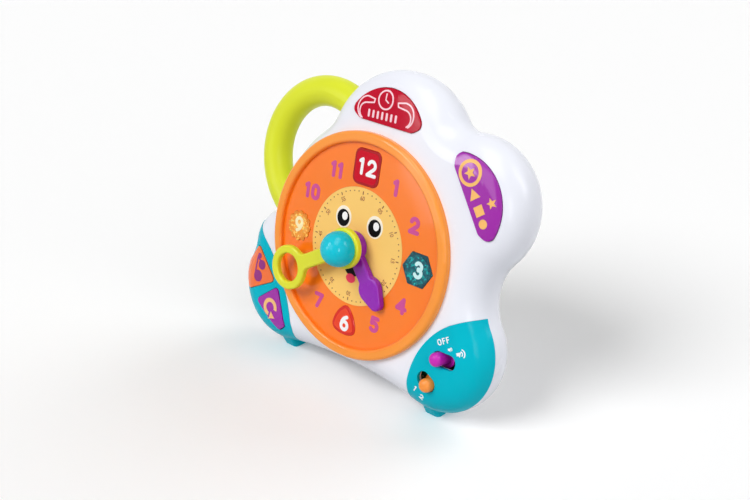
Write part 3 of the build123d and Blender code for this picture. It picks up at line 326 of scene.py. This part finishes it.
# The tiles' own colours are darker copies of their lit middles: painted shade that shows on each tile's
# bevelled rim
SHADED_TILE_RED = plastic("tile_red", (172, 0, 20), 0.18, coat=0.2, shine=0.15)
SHADED_TILE_CORAL = plastic("tile_coral", (218, 40, 28), 0.18, coat=0.2, shine=0.15)
SHADED_TILE_TEAL = glitter("tile_teal", (0, 62, 76), (0, 122, 128), 0.3)
SHADED_TILE_AMBER = glitter("tile_amber", (226, 136, 36), (250, 190, 84), 0.3)
ACETAL = plastic("acetal", (232, 232, 222), 0.42)
BLACK_PART = plastic("black_part", (22, 22, 24), 0.45)
SILICONE = plastic("silicone", (196, 196, 200), 0.6)
RUBBER = plastic("rubber", (34, 34, 36), 0.75, grain=0.4)
CELL_SLEEVE = plastic("cell_sleeve", (70, 110, 84), 0.3, coat=0.4)
BOARD = circuit_board("circuit_board")
STEEL = metal("zinc_steel", (190, 192, 198), 0.28)
BRASS = metal("contact_brass", (214, 182, 98), 0.25)

PRINT_MAGENTA = plastic("print_magenta", (206, 78, 150), 0.4, shine=0.2)
PRINT_WHITE = plastic("print_white", (250, 250, 252), 0.35)
PRINT_CREAM = plastic("print_cream", (254, 244, 226), 0.35)
PRINT_BROWN = plastic("print_brown", (170, 106, 72), 0.5)
PRINT_UMBER = plastic("print_umber", (136, 78, 50), 0.5)
PRINT_INK = plastic("print_ink", (8, 8, 12), 0.35, shine=0.05)
PRINT_TONGUE = plastic("print_tongue", (238, 48, 88), 0.35)
# Lighter copies of the red and coral tiles' colours for their middles: painted light on the tiles' faces,
# against the painted shade of their rims
LIT_TILE_RED = plastic("lit_tile_red", (208, 0, 36), 0.2, shine=0.12)
LIT_TILE_CORAL = plastic("lit_tile_coral", (240, 74, 46), 0.2, shine=0.12)
PRINT_PALE_TEAL = plastic("print_pale_teal", (206, 244, 244), 0.3)
PRINT_PALE_YELLOW = plastic("print_pale_yellow", (253, 240, 190), 0.35)
PRINT_PEACH = plastic("print_peach", (250, 196, 128), 0.35)
PRINT_GOLD = plastic("print_gold", (250, 190, 104), 0.35)
PRINT_PINK = plastic("print_pink", (255, 214, 224), 0.3)
PRINT_PLUM = plastic("print_plum", (146, 40, 130), 0.35)
# Lighter copies of the teal and amber glitter for those tiles' middles: painted light on the tiles' faces,
# against the painted shade of their rims
LIT_FLAKE_TEAL = glitter("lit_flake_teal", (0, 84, 98), (24, 172, 170), 0.45)
LIT_FLAKE_AMBER = glitter("lit_flake_amber", (238, 152, 48), (255, 214, 112), 0.45)

# Finishes of the CAD nodes, by node or else by the record's material slot

NODE_FINISH = {
    "front_shell": SHELL_WHITE,
    "rear_shell": SHELL_WHITE,
    "battery_door": SHELL_WHITE,
    "left_corner_panel": PANEL_TEAL,
    "right_corner_panel": PANEL_TEAL,
    "handle": HANDLE_LIME,
    "dial_plate": DIAL_ORANGE,
    "face_disc": FACE_YELLOW,
    "square_tile": SHADED_TILE_RED,
    "hexagon_tile": SHADED_TILE_TEAL,
    "triangle_tile": SHADED_TILE_CORAL,
    "sun_tile": SHADED_TILE_AMBER,
    "minute_hand": MINUTE_YELLOW,
    "hour_hand": HOUR_PURPLE,
    "centre_knob": KNOB_TEAL,
    "top_button": BUTTON_RED,
    "side_button": BUTTON_PURPLE,
    "music_button": BUTTON_ORANGE,
    "repeat_button": BUTTON_PURPLE,
    "volume_knob": PEG_MAGENTA,
    "mode_knob": PEG_ORANGE,
    "cells": CELL_SLEEVE,
    "rear_pads": RUBBER,
    "battery_contacts": BRASS,
    "volume_wiper": BRASS,
    "mode_wiper": BRASS,
}
SLOT_FINISH = {
    "acetal_white": ACETAL,
    "board_green": BOARD,
    "part_black": BLACK_PART,
    "dome_silicone": SILICONE,
    "zinc_steel": STEEL,
}
slot_of_node = {row["node"]: row["material_slot"] for row in frame["record"]["subparts"]}
for node_name, node in NODES.items():
    finish = NODE_FINISH.get(node_name) or SLOT_FINISH[slot_of_node[node_name]]
    node.data.materials.clear()
    node.data.materials.append(finish)

# Flat drawings in the dial's millimetres

# Strokes that cross lie on layers this far apart, so that no two share a plane
LAYER = 0.01
ON_SHEET = Matrix()
CORNER_STEPS = 8
# Share of a stroke's width that rounds each corner of its ends, just short of a half so that they never meet
ROUND_END = 0.499
BOW_STEP = 8
BOW_LEAST_STEPS = 10


def next_layer(drawing):
    """Height for the next stroke of a drawing."""
    return Matrix.Translation((0, 0, max((point.co.z for point in drawing.verts), default=-LAYER) + LAYER))


def everything(drawing):
    """All points, edges and faces of a drawing."""
    return drawing.verts[:] + drawing.edges[:] + drawing.faces[:]


def moved(drawing, place):
    """Carries a drawing to its place."""
    bmesh.ops.transform(drawing, matrix=place, verts=drawing.verts[:])
    return drawing


def disc(drawing, x, u, radius, stretch=1.0, turn=0.0, segments=32, layer=ON_SHEET):
    """Adds a filled disc or oval to a drawing or, with few segments, a plain polygon."""
    place = layer @ around(x, u, turn) @ Matrix.Diagonal((1, stretch, 1, 1))
    bmesh.ops.create_circle(drawing, cap_ends=True, segments=segments, radius=radius, matrix=place)


def star(drawing, x, u, radius):
    """Adds a plain star to a drawing: a disc whose every other corner is drawn in."""
    points = 5
    inner_share = 0.45
    place = around(x, u, 90)
    made = bmesh.ops.create_circle(drawing, cap_ends=True, segments=2 * points, radius=radius, matrix=place)
    for point in made["verts"][1::2]:
        point.co.x = x + (point.co.x - x) * inner_share
        point.co.y = u + (point.co.y - u) * inner_share


def bar(drawing, place, length, width):
    """Adds a straight bar with square ends to a drawing, and gives its four corners."""
    box = place @ Matrix.Diagonal((length, width, 1, 1))
    return bmesh.ops.create_grid(drawing, x_segments=1, y_segments=1, size=0.5, matrix=box)["verts"]


def rounded_bar(drawing, place, length, width, corner):
    """Adds a straight bar with rounded corners to a drawing."""
    bmesh.ops.bevel(
        drawing,
        geom=bar(drawing, place, length, width),
        offset=corner,
        offset_type="OFFSET",
        segments=CORNER_STEPS,
        profile=0.5,
        affect="VERTICES",
        material=-1,
    )


def band(drawing, x, u, radius, width, start, sweep, steps, layer=ON_SHEET):
    """Adds part of a ring to a drawing, spun from its end edge."""
    inner = drawing.verts.new(layer @ Vector((x + radius - width / 2, u, 0)))
    outer = drawing.verts.new(layer @ Vector((x + radius + width / 2, u, 0)))
    edge = drawing.edges.new((inner, outer))
    turned = Matrix.Rotation(radians(start), 4, "Z")
    bmesh.ops.rotate(drawing, cent=(x, u, 0), matrix=turned, verts=[inner, outer])
    bmesh.ops.spin(
        drawing,
        geom=[edge],
        cent=(x, u, 0),
        axis=(0, 0, 1),
        angle=radians(sweep),
        steps=steps,
        use_merge=abs(sweep) >= 360,
    )


def stroke(drawing, x0, u0, x1, u1, width):
    """Adds a straight stroke with round ends to a drawing, on a layer of its own."""
    direction = degrees(atan2(u1 - u0, x1 - x0))
    place = next_layer(drawing) @ around((x0 + x1) / 2, (u0 + u1) / 2, direction)
    rounded_bar(drawing, place, hypot(x1 - x0, u1 - u0) + width, width, ROUND_END * width)


def bow(drawing, x, u, radius, width, start, sweep):
    """Adds a curved stroke with round ends to a drawing, on layers of its own."""
    steps = max(BOW_LEAST_STEPS, int(abs(sweep) / BOW_STEP))
    band(drawing, x, u, radius, width, start, sweep, steps, next_layer(drawing))
    if abs(sweep) < 360:
        for angle in (start, start + sweep):
            end_x = x + radius * cos(radians(angle))
            end_u = u + radius * sin(radians(angle))
            disc(drawing, end_x, end_u, width / 2, segments=24, layer=next_layer(drawing))


# Rounded figures about the origin, whose strokes run from -TOP to TOP at their middles

TOP = 4.4


def oval_figure(drawing, radius, width):
    """Two half rings joined by straight sides."""
    straight = TOP - radius
    bow(drawing, 0, straight, radius, width, 0, 180)
    bow(drawing, 0, -straight, radius, width, 180, 180)
    stroke(drawing, radius, straight, radius, -straight, width)
    stroke(drawing, -radius, straight, -radius, -straight, width)


def draw_zero(drawing, width):
    oval_figure(drawing, 2.8, width)


def draw_one(drawing, width):
    stroke(drawing, 0.8, TOP, 0.8, -TOP, width)
    stroke(drawing, 0.8, TOP, -1.0, 3.2, width)


def draw_two(drawing, width):
    bow(drawing, 0, 1.65, 2.75, width, 165, -205)
    stroke(drawing, 2.1, -0.12, -3.0, -TOP, width)
    stroke(drawing, -3.0, -TOP, 3.2, -TOP, width)


def draw_three(drawing, width):
    bow(drawing, -0.2, 2.15, 2.25, width, 150, -240)
    bow(drawing, -0.2, -1.85, 2.55, width, 90, -240)


def draw_four(drawing, width):
    stroke(drawing, 1.5, TOP, 1.5, -TOP, width)
    stroke(drawing, 1.5, TOP, -3.3, -1.8, width)
    stroke(drawing, -3.3, -1.8, 3.4, -1.8, width)


def draw_five(drawing, width):
    stroke(drawing, 2.6, TOP, -2.0, TOP, width)
    stroke(drawing, -2.0, TOP, -2.3, 0.6, width)
    bow(drawing, -0.2, -1.55, 2.85, width, 132, -272)


def draw_six(drawing, width):
    bow(drawing, 0, -1.7, 2.7, width, 0, 360)
    bow(drawing, 3.4, -1.3, 6.0, width, 180, -72)


def draw_seven(drawing, width):
    stroke(drawing, -3.0, TOP, 3.0, TOP, width)
    stroke(drawing, 3.0, TOP, -0.8, -TOP, width)


def draw_eight(drawing, width):
    bow(drawing, 0, 2.2, 2.2, width, 0, 360)
    bow(drawing, 0, -1.95, 2.45, width, 0, 360)


def draw_nine(drawing, width):
    bow(drawing, 0, 1.7, 2.7, width, 0, 360)
    bow(drawing, -3.4, 1.3, 6.0, width, 0, -72)


def draw_letter_o(drawing, width):
    oval_figure(drawing, 3.1, width)


def draw_letter_f(drawing, width):
    stroke(drawing, -1.8, -TOP, -1.8, TOP, width)
    stroke(drawing, -1.8, TOP, 2.2, TOP, width)
    stroke(drawing, -1.8, 0.3, 1.6, 0.3, width)


DRAWN = {
    "0": draw_zero,
    "1": draw_one,
    "2": draw_two,
    "3": draw_three,
    "4": draw_four,
    "5": draw_five,
    "6": draw_six,
    "7": draw_seven,
    "8": draw_eight,
    "9": draw_nine,
    "O": draw_letter_o,
    "F": draw_letter_f,
}
# Half of the room that a sign takes along its line
HALF_STEP = {"0": 5.1, "1": 3.2, "2": 5.4, "F": 4.2}
USUAL_HALF_STEP = 5.0


def number(text, height, weight):
    """Rounded number about the origin, with its height over all and its stroke's width."""
    size = (height - weight) / (2 * TOP)
    whole = bmesh.new()
    pen = -sum(HALF_STEP.get(sign, USUAL_HALF_STEP) for sign in text)
    for sign in text:
        half = HALF_STEP.get(sign, USUAL_HALF_STEP)
        figure = bmesh.new()
        DRAWN[sign](figure, weight / size)
        bmesh.ops.translate(figure, vec=(pen + half, 0, 0), verts=figure.verts[:])
        pen += 2 * half
        sheet = bpy.data.meshes.new("figure")
        figure.to_mesh(sheet)
        figure.free()
        whole.from_mesh(sheet)
        bpy.data.meshes.remove(sheet)
    bmesh.ops.scale(whole, vec=(size, size, 1), verts=whole.verts[:])
    return whole


def small_figures(text, height, weight, narrow):
    """Plain figures about the origin, for marks too small to need strokes of their own."""
    height_share = 0.73
    curve = bpy.data.curves.new("figures", "FONT")
    curve.body = text
    curve.size = height / height_share
    curve.offset = weight
    curve.resolution_u = 5
    curve.align_x = "CENTER"
    curve.align_y = "CENTER"
    holder = bpy.data.objects.new("figures", curve)
    mesh = bpy.data.meshes.new_from_object(holder)
    drawing = bmesh.new()
    drawing.from_mesh(mesh)
    bpy.data.objects.remove(holder)
    bpy.data.curves.remove(curve)
    bpy.data.meshes.remove(mesh)
    reach = [point.co.y for point in drawing.verts]
    middle = (min(reach) + max(reach)) / 2
    bmesh.ops.translate(drawing, vec=(0, -middle, 0), verts=drawing.verts[:])
    bmesh.ops.scale(drawing, vec=(narrow, 1, 1), verts=drawing.verts[:])
    return drawing


# Printing, in the dial's millimetres

PRINT_THICKNESS = 0.14
PRINT_SUNK = 0.04
MERGE_DISTANCE = 0.002
CUT_STEP = 2.0
RAY_START = 60
INTO_DIAL = Vector((0, 0, -1))


def surface_of(name):
    """Ray target made of a CAD node, in the dial's frame."""
    to_dial = DIAL.inverted()
    mesh = NODES[name].data
    points = [to_dial @ vertex.co for vertex in mesh.vertices]
    return BVHTree.FromPolygons(points, [face.vertices[:] for face in mesh.polygons])


def cut_up(drawing):
    """Cuts a flat drawing across, both ways, so that it can follow a curved surface."""
    for axis in (Vector((1, 0, 0)), Vector((0, 1, 0))):
        reach = [point.co.dot(axis) for point in drawing.verts]
        first = int(min(reach) // CUT_STEP)
        last = int(max(reach) // CUT_STEP) + 1
        for count in range(first, last + 1):
            place = axis * CUT_STEP * count
            bmesh.ops.bisect_plane(drawing, geom=everything(drawing), plane_co=place, plane_no=axis)


def made_piece(name, drawing, ink, body, sheet):
    """Gives a drawing that lies in its surface a thickness, from a little under it, and makes it a piece."""
    for point in drawing.verts:
        point.co.z += sheet * PRINT_THICKNESS - PRINT_SUNK
    made = bmesh.ops.extrude_face_region(drawing, geom=drawing.faces[:])
    tops = [part for part in made["geom"] if isinstance(part, bmesh.types.BMVert)]
    bmesh.ops.translate(drawing, vec=(0, 0, PRINT_THICKNESS + PRINT_SUNK), verts=tops)
    bmesh.ops.recalc_face_normals(drawing, faces=drawing.faces[:])
    moved(drawing, DIAL)
    mesh = bpy.data.meshes.new(name)
    drawing.to_mesh(mesh)
    drawing.free()
    mesh.materials.append(ink)
    piece = bpy.data.objects.new(name, mesh)
    bpy.context.scene.collection.objects.link(piece)
    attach(piece, body)


def print_flat(name, drawing, ink, level, sheet=0):
    """Prints a drawing on a flat of the dial at a level, over so many sheets of print already there."""
    bmesh.ops.remove_doubles(drawing, verts=drawing.verts[:], dist=MERGE_DISTANCE)
    for point in drawing.verts:
        point.co.z += level
    made_piece(name, drawing, ink, "clock_body", sheet)


def print_on(skin, name, drawing, ink, slot, body="clock_body"):
    """Prints a drawing on a curved surface, which rays from in front of the dial find."""
    bmesh.ops.remove_doubles(drawing, verts=drawing.verts[:], dist=MERGE_DISTANCE)
    cut_up(drawing)
    for point in drawing.verts:
        hit = skin.ray_cast(Vector((point.co.x, point.co.y, RAY_START)), INTO_DIAL)[0]
        if hit:
            point.co.z += hit.z
    made_piece(name, drawing, ink, body, 0)


# Marks on the dial

NUMERAL_RING = 55.0
FIELD_LEVEL = 0.0
FACE_LEVEL = 0.1
TILE_LEVEL = 0.6
TRIANGLE_U = 0.4 - NUMERAL_RING


def hour_numbers():
    """The eight numbers between the tiles, each set a little towards the dial's upright middle line."""
    for hour in (1, 2, 4, 5, 7, 8, 10, 11):
        x, u = clock_place(NUMERAL_RING, HOUR_ANGLE * hour)
        to_middle = -0.9 if hour < 6 else 0.6
        figure = moved(number(str(hour), height=11.7, weight=2.9), around(x + to_middle, u))
        print_flat(f"hour_number_{hour}", figure, PRINT_MAGENTA, FIELD_LEVEL)


def square_middle():
    """Lit middle of the square tile: a lighter copy of its red, so that the darker rim round it stands as
    painted shade.
    """
    length, width, corner = 19.4, 21.0, 3.4
    drawing = bmesh.new()
    rounded_bar(drawing, around(0, NUMERAL_RING), length, width, corner)
    print_flat("square_tile_lit_middle", drawing, LIT_TILE_RED, TILE_LEVEL)


def hexagon_middle():
    """Lit middle of the hexagon tile: a lighter copy of its glitter, so that the darker rim round it stands
    as painted shade.
    """
    drawing = bmesh.new()
    disc(drawing, NUMERAL_RING, 0, radius=10.7, segments=6)
    print_flat("hexagon_tile_lit_middle", drawing, LIT_FLAKE_TEAL, TILE_LEVEL)


def triangle_middle():
    """Lit middle of the triangle tile, a lighter copy of its coral so that the darker rim round it stands as
    painted shade: a disc drawn out to three bowed sides and blunt tips.
    """
    tile_reach, rim, blunting = 12.7, 2.2, 0.75
    side_radius = tile_reach * sqrt(3) - rim
    drawing = bmesh.new()
    for point in bmesh.ops.create_circle(drawing, cap_ends=True, segments=96, radius=1)["verts"]:
        reach = [tile_reach - rim - blunting]
        for turn in (90, 210, 330):
            corner = Vector((tile_reach * cos(radians(turn)), tile_reach * sin(radians(turn)), 0))
            along = point.co.dot(corner)
            reach.append(along + sqrt(along ** 2 - tile_reach ** 2 + side_radius ** 2))
        point.co *= min(reach)
    moved(drawing, around(0, TRIANGLE_U))
    print_flat("triangle_tile_lit_middle", drawing, LIT_TILE_CORAL, TILE_LEVEL)


def sun_middle():
    """Lit middle of the sun tile: a lighter copy of its glitter, so that the darker rim round it stands as
    painted shade.
    """
    drawing = bmesh.new()
    disc(drawing, -NUMERAL_RING, 0, radius=8.6, segments=48)
    print_flat("sun_tile_lit_middle", drawing, LIT_FLAKE_AMBER, TILE_LEVEL)


def tile_numbers():
    """The four numbers on the tiles, printed over their lit middles, which are painted light."""
    for hour, x, u, height, weight, ink, slot in (
        (12, 1.1, NUMERAL_RING + 0.3, 11.9, 2.4, PRINT_WHITE, "tile_red"),
        (3, NUMERAL_RING + 1.3, 0.2, 11.8, 2.5, PRINT_PALE_TEAL, "tile_teal"),
        (6, 0.8, TRIANGLE_U - 0.8, 11.8, 2.6, PRINT_WHITE, "tile_red"),
        (9, -NUMERAL_RING, 1.0, 11.6, 2.5, PRINT_PALE_YELLOW, "tile_amber"),
    ):
        figure = moved(number(str(hour), height, weight), around(x, u))
        print_flat(f"tile_number_{hour}", figure, ink, TILE_LEVEL, sheet=1)


def minute_scale():
    """Dots, a tick at every fifth minute and the minute numbers inside them."""
    dot_ring, tick_ring, number_ring = 38.3, 37.6, 33.8
    dots = bmesh.new()
    ticks = bmesh.new()
    for minute in range(60):
        angle = MINUTE_ANGLE * minute
        if minute % 5:
            disc(dots, *clock_place(dot_ring, angle), radius=0.46, segments=12)
        else:
            bar(ticks, around(*clock_place(tick_ring, angle), 90 - angle), length=2.2, width=0.7)
    print_flat("minute_dots", dots, PRINT_UMBER, FACE_LEVEL)
    print_flat("minute_ticks", ticks, PRINT_UMBER, FACE_LEVEL)
    for hour in range(1, 13):
        figures = small_figures(f"{5 * hour:02d}", height=3.2, weight=0.02, narrow=0.9)
        angle = HOUR_ANGLE * hour
        moved(figures, around(*clock_place(number_ring, angle), -angle))
        print_flat(f"minute_number_{5 * hour}", figures, PRINT_BROWN, FACE_LEVEL)


def smiling_face():
    """Plain smiling face: two ovals and a glint for each eye, and a mouth with a tongue."""
    eye_x = 14.4
    for side, middle in (("left", -eye_x), ("right", eye_x)):
        for name, x, u, radius, stretch, ink, sheet in (
            ("eye_rim", middle, 17.45, 7.1, 1.1, PRINT_CREAM, 0),
            ("eye", middle, 16.8, 5.6, 1.07, PRINT_INK, 1),
            ("eye_glint", middle + 1.3, 18.3, 2.5, 1.16, PRINT_WHITE, 2),
        ):
            oval = bmesh.new()
            disc(oval, x, u, radius, stretch)
            print_flat(f"{side}_{name}", oval, ink, FACE_LEVEL, sheet)
    mouth = bmesh.new()
    disc(mouth, 0, -13.5, radius=7.7, segments=48)
    lip = (0, -15.0, 0)
    bmesh.ops.bisect_plane(mouth, geom=everything(mouth), plane_co=lip, plane_no=(0, 1, 0), clear_outer=True)
    print_flat("mouth", mouth, PRINT_INK, FACE_LEVEL)
    tongue = bmesh.new()
    disc(tongue, -0.1, -22.8, radius=4.2, stretch=0.78)
    print_flat("tongue", tongue, PRINT_TONGUE, FACE_LEVEL, sheet=1)


# Marks on the buttons and beside the switches

def top_button_marks():
    """A small clock, a crescent line each side of it and a row of minute strokes."""
    skin = surface_of("top_button")
    look = (PRINT_PINK, "button_red", "top_button")
    clock_x, clock_u = 6.5, 101.5
    ring = bmesh.new()
    band(ring, clock_x, clock_u, radius=6.1, width=1.1, start=0, sweep=360, steps=48)
    print_on(skin, "top_button_ring", ring, *look)
    hands = bmesh.new()
    stroke(hands, clock_x, clock_u, clock_x, 105.4, width=0.9)
    stroke(hands, clock_x, clock_u, 9.2, 99.9, width=0.9)
    print_on(skin, "top_button_hands", hands, *look)
    line = 1.0
    mirror_x = 6.8
    mirror = Matrix.Translation((2 * mirror_x, 0, 0)) @ Matrix.Diagonal((-1, 1, 1, 1))
    for side, shift in (("left", (1.4, -0.8, 0)), ("right", (-0.2, 0, 0))):
        crescent = bmesh.new()
        bow(crescent, -9.8, 94.2, 8.2, line, start=90, sweep=145)
        stroke(crescent, -9.8, 102.4, -3.9, 101.4, line)
        stroke(crescent, -3.9, 101.4, -4.4, 99.0, line)
        stroke(crescent, -4.4, 99.0, -10.9, 98.0, line)
        bow(crescent, -10.4, 92.4, 5.6, line, start=95, sweep=145)
        if side == "right":
            moved(crescent, mirror)
            bmesh.ops.recalc_face_normals(crescent, faces=crescent.faces[:])
        moved(crescent, Matrix.Translation(shift))
        print_on(skin, f"top_button_crescent_{side}", crescent, *look)
    row = bmesh.new()
    row_middle, row_step = 5.4, 3.9
    for count in range(-3, 4):
        x = row_middle + row_step * count
        stroke(row, x, 92.6, x, 89.0, width=1.7)
    print_on(skin, "top_button_strokes", row, *look)


def side_button_marks():
    """A ring with a star in it and a few plain shapes, drawn upright and turned to the button."""
    skin = surface_of("side_button")
    look = (PRINT_GOLD, "button_purple", "side_button")
    place = around(81.5, 53.0, -55)
    ring_x, ring_u = -14.4, 9.8
    ring = bmesh.new()
    band(ring, ring_x, ring_u, radius=7.4, width=2.2, start=0, sweep=360, steps=48)
    star(ring, ring_x, ring_u, radius=4.3)
    print_on(skin, "side_button_ring", moved(ring, place), *look)
    shapes = bmesh.new()
    disc(shapes, -0.5, 7.3, radius=4.6, segments=3, turn=90)
    disc(shapes, 9.5, 7.0, radius=4.6, segments=4, turn=45)
    disc(shapes, 18.0, 6.5, radius=3.0)
    star(shapes, 8.5, 17.2, radius=3.6)
    print_on(skin, "side_button_shapes", moved(shapes, place), *look)


def music_button_mark():
    """A music note: a stem with a head at its foot, a blob at its top and a head on its flag."""
    note = bmesh.new()
    disc(note, -92.5, -49.9, radius=4.3, stretch=1.05)
    disc(note, -89.6, -40.4, radius=3.7)
    disc(note, -93.2, -34.2, radius=2.2, segments=20)
    stroke(note, -95.8, -48.0, -95.2, -35.4, width=1.4)
    stroke(note, -95.2, -35.4, -90.0, -38.8, width=1.4)
    print_on(surface_of("music_button"), "music_note", note, PRINT_PLUM, "button_orange", "music_button")


def repeat_button_mark():
    """An open ring that ends in an arrowhead."""
    loop = bmesh.new()
    band(loop, -75.5, -69.6, radius=5.6, width=3.0, start=-10, sweep=270, steps=36)
    disc(loop, -73.2, -76.0, radius=3.6, segments=3, turn=15, layer=next_layer(loop))
    print_on(surface_of("repeat_button"), "repeat_mark", loop, PRINT_PEACH, "button_purple", "repeat_button")


def switch_marks():
    """OFF and two loudspeaker signs by the volume switch, 1 and 2 by the other."""
    skin = surface_of("right_corner_panel")
    look = (PRINT_WHITE, "panel_teal")
    off = moved(number("OFF", height=4.2, weight=0.75), around(83.4, -39.4, 31))
    print_on(skin, "volume_off", off, *look)
    for name, x, u, size, arcs in (("low", 89.7, -42.8, 0.8, 1), ("high", 97.3, -43.3, 1.1, 2)):
        sound = bmesh.new()
        bar(sound, around(-1.6, 0), length=1.4, width=1.8)
        disc(sound, -0.6, 0, radius=1.9, segments=3, turn=180, layer=next_layer(sound))
        for arc in range(arcs):
            bow(sound, 0, 0, radius=1.6 + 1.4 * arc, width=0.6, start=-50, sweep=100)
        print_on(skin, f"volume_{name}", moved(sound, around(x, u, 28, size)), *look)
    for count, x, u in ((1, 67.3, -78.8), (2, 72.9, -83.0)):
        figure = moved(number(str(count), height=4.4, weight=0.9), around(x, u, -30))
        print_on(skin, f"mode_number_{count}", figure, *look)


hour_numbers()
square_middle()
hexagon_middle()
triangle_middle()
sun_middle()
tile_numbers()
minute_scale()
smiling_face()
top_button_marks()
side_button_marks()
music_button_mark()
repeat_button_mark()
switch_marks()

# Floor, light and camera, in metres

FLOOR_SIZE = 6.0
FLOOR_LIT = linear(200, 200, 200)
FLOOR_SHOWN = linear(255, 255, 255)
FLOOR_GLOW = 0.02
SKY_LIGHT = 0.2
SKY_SHOWN = 1.0
WHITE = (1, 1, 1, 1)
FLOOR_MIDDLE = (0, 0, 0)
BODY_MIDDLE = (0, 0, 0.11)
CAMERA_FROM_DIAL = Vector((0.3973, -0.4191, 0.2612))
VIEW_DIRECTION = Vector((-0.6104, 0.6743, -0.4156))
LENS_MM = 44.58
SENSOR_MM = 36


def backdrop_rays(tree):
    """One for rays that show the background: from the camera, in a gloss or through a clear body."""
    rays = tree.nodes.new("ShaderNodeLightPath").outputs
    shown = maths(tree, "MAXIMUM", rays["Is Camera Ray"], rays["Is Glossy Ray"])["Value"]
    return maths(tree, "MAXIMUM", shown, rays["Is Transmission Ray"])["Value"]


def floor_paint():
    """Plain matt floor that shows white and throws back a little less."""
    paint, tree, surface = shader("floor_paint")
    shown = backdrop_rays(tree)
    colour = mixed(tree, shown, FLOOR_LIT, FLOOR_SHOWN)
    glow = ranged(tree, shown, 0.0, FLOOR_GLOW, WHOLE)
    feed_named(tree, surface, {"Base Color": colour, "Roughness": 0.9, "Specular IOR Level": 0.1})
    feed_named(tree, surface, {"Emission Color": WHITE, "Emission Strength": glow})
    return paint


def lay_floor():
    """Floor under the clock, wider than any view of it."""
    sheet = bmesh.new()
    bmesh.ops.create_grid(sheet, x_segments=1, y_segments=1, size=FLOOR_SIZE)
    mesh = bpy.data.meshes.new("floor")
    sheet.to_mesh(mesh)
    sheet.free()
    mesh.materials.append(floor_paint())
    floor = bpy.data.objects.new("floor", mesh)
    bpy.context.scene.collection.objects.link(floor)


def light_world():
    """White surroundings that show bright and light the clock dimly."""
    world = bpy.data.worlds.new("studio")
    bpy.context.scene.world = world
    world.use_nodes = True
    tree = world.node_tree
    level = ranged(tree, backdrop_rays(tree), SKY_LIGHT, SKY_SHOWN, WHOLE)
    feed_named(tree, tree.nodes["Background"], {"Color": WHITE, "Strength": level})


def lamp(name, kind, place, target, turn=0):
    """Lamp aimed at a point, and turned by degrees about its own axis."""
    data = bpy.data.lights.new(name, kind)
    holder = bpy.data.objects.new(name, data)
    holder.location = place
    aim = (Vector(target) - Vector(place)).to_track_quat("-Z", "Y").to_matrix()
    holder.rotation_euler = (aim @ Matrix.Rotation(radians(turn), 3, "Z")).to_euler()
    bpy.context.scene.collection.objects.link(holder)
    return holder


def hang_suns():
    """Broad lights that stay out of the gloss, each with its strength and its spread in degrees."""
    for name, place, strength, spread in (
        ("key_light", (-0.3, -1.0, 0.95), 1.97, 32),
        ("fill_light", (1.4, -0.35, 0.8), 1.0, 50),
        ("back_light", (0.4, 1.0, 0.9), 0.9, 40),
    ):
        holder = lamp(name, "SUN", place, FLOOR_MIDDLE)
        holder.visible_glossy = False
        holder.data.energy = strength
        holder.data.angle = radians(spread)


def hang_softboxes():
    """Softboxes that show only in the gloss, each with its width, height, turn and watts."""
    for name, place, width, height, turn, watts in (
        ("left_softbox", (-0.513, -0.85, 0.54), 0.215, 0.66, 0, 3.4),
        ("middle_softbox", (-0.18, -0.96, 0.56), 0.47, 0.55, 0, 1.7),
        ("low_strip", (-0.541, -0.815, 0.140), 0.024, 0.12, 43, 0.04),
        ("upper_softbox", (0.11, -0.29, 1.07), 0.5, 0.9, 0, 5.0),
        ("right_softbox", (0.75, 0.28, 0.7), 0.25, 0.6, 0, 2.6),
        ("side_softbox", (0.80, -0.73, 0.42), 0.26, 0.45, 0, 2.2),
    ):
        holder = lamp(name, "AREA", place, BODY_MIDDLE, turn)
        holder.visible_diffuse = False
        holder.data.shape = "RECTANGLE"
        holder.data.size = width
        holder.data.size_y = height
        holder.data.energy = watts


def place_camera():
    """The camera that was solved from the ring of dial numbers."""
    data = bpy.data.cameras.new("camera")
    data.sensor_width = SENSOR_MM
    data.lens = LENS_MM
    camera = bpy.data.objects.new("camera", data)
    camera.location = CENTRE + CAMERA_FROM_DIAL
    camera.rotation_euler = VIEW_DIRECTION.to_track_quat("-Z", "Y").to_euler()
    bpy.context.scene.collection.objects.link(camera)
    bpy.context.scene.camera = camera


lay_floor()
light_world()
hang_suns()
hang_softboxes()
place_camera()
bpy.context.scene.view_settings.view_transform = "Standard"
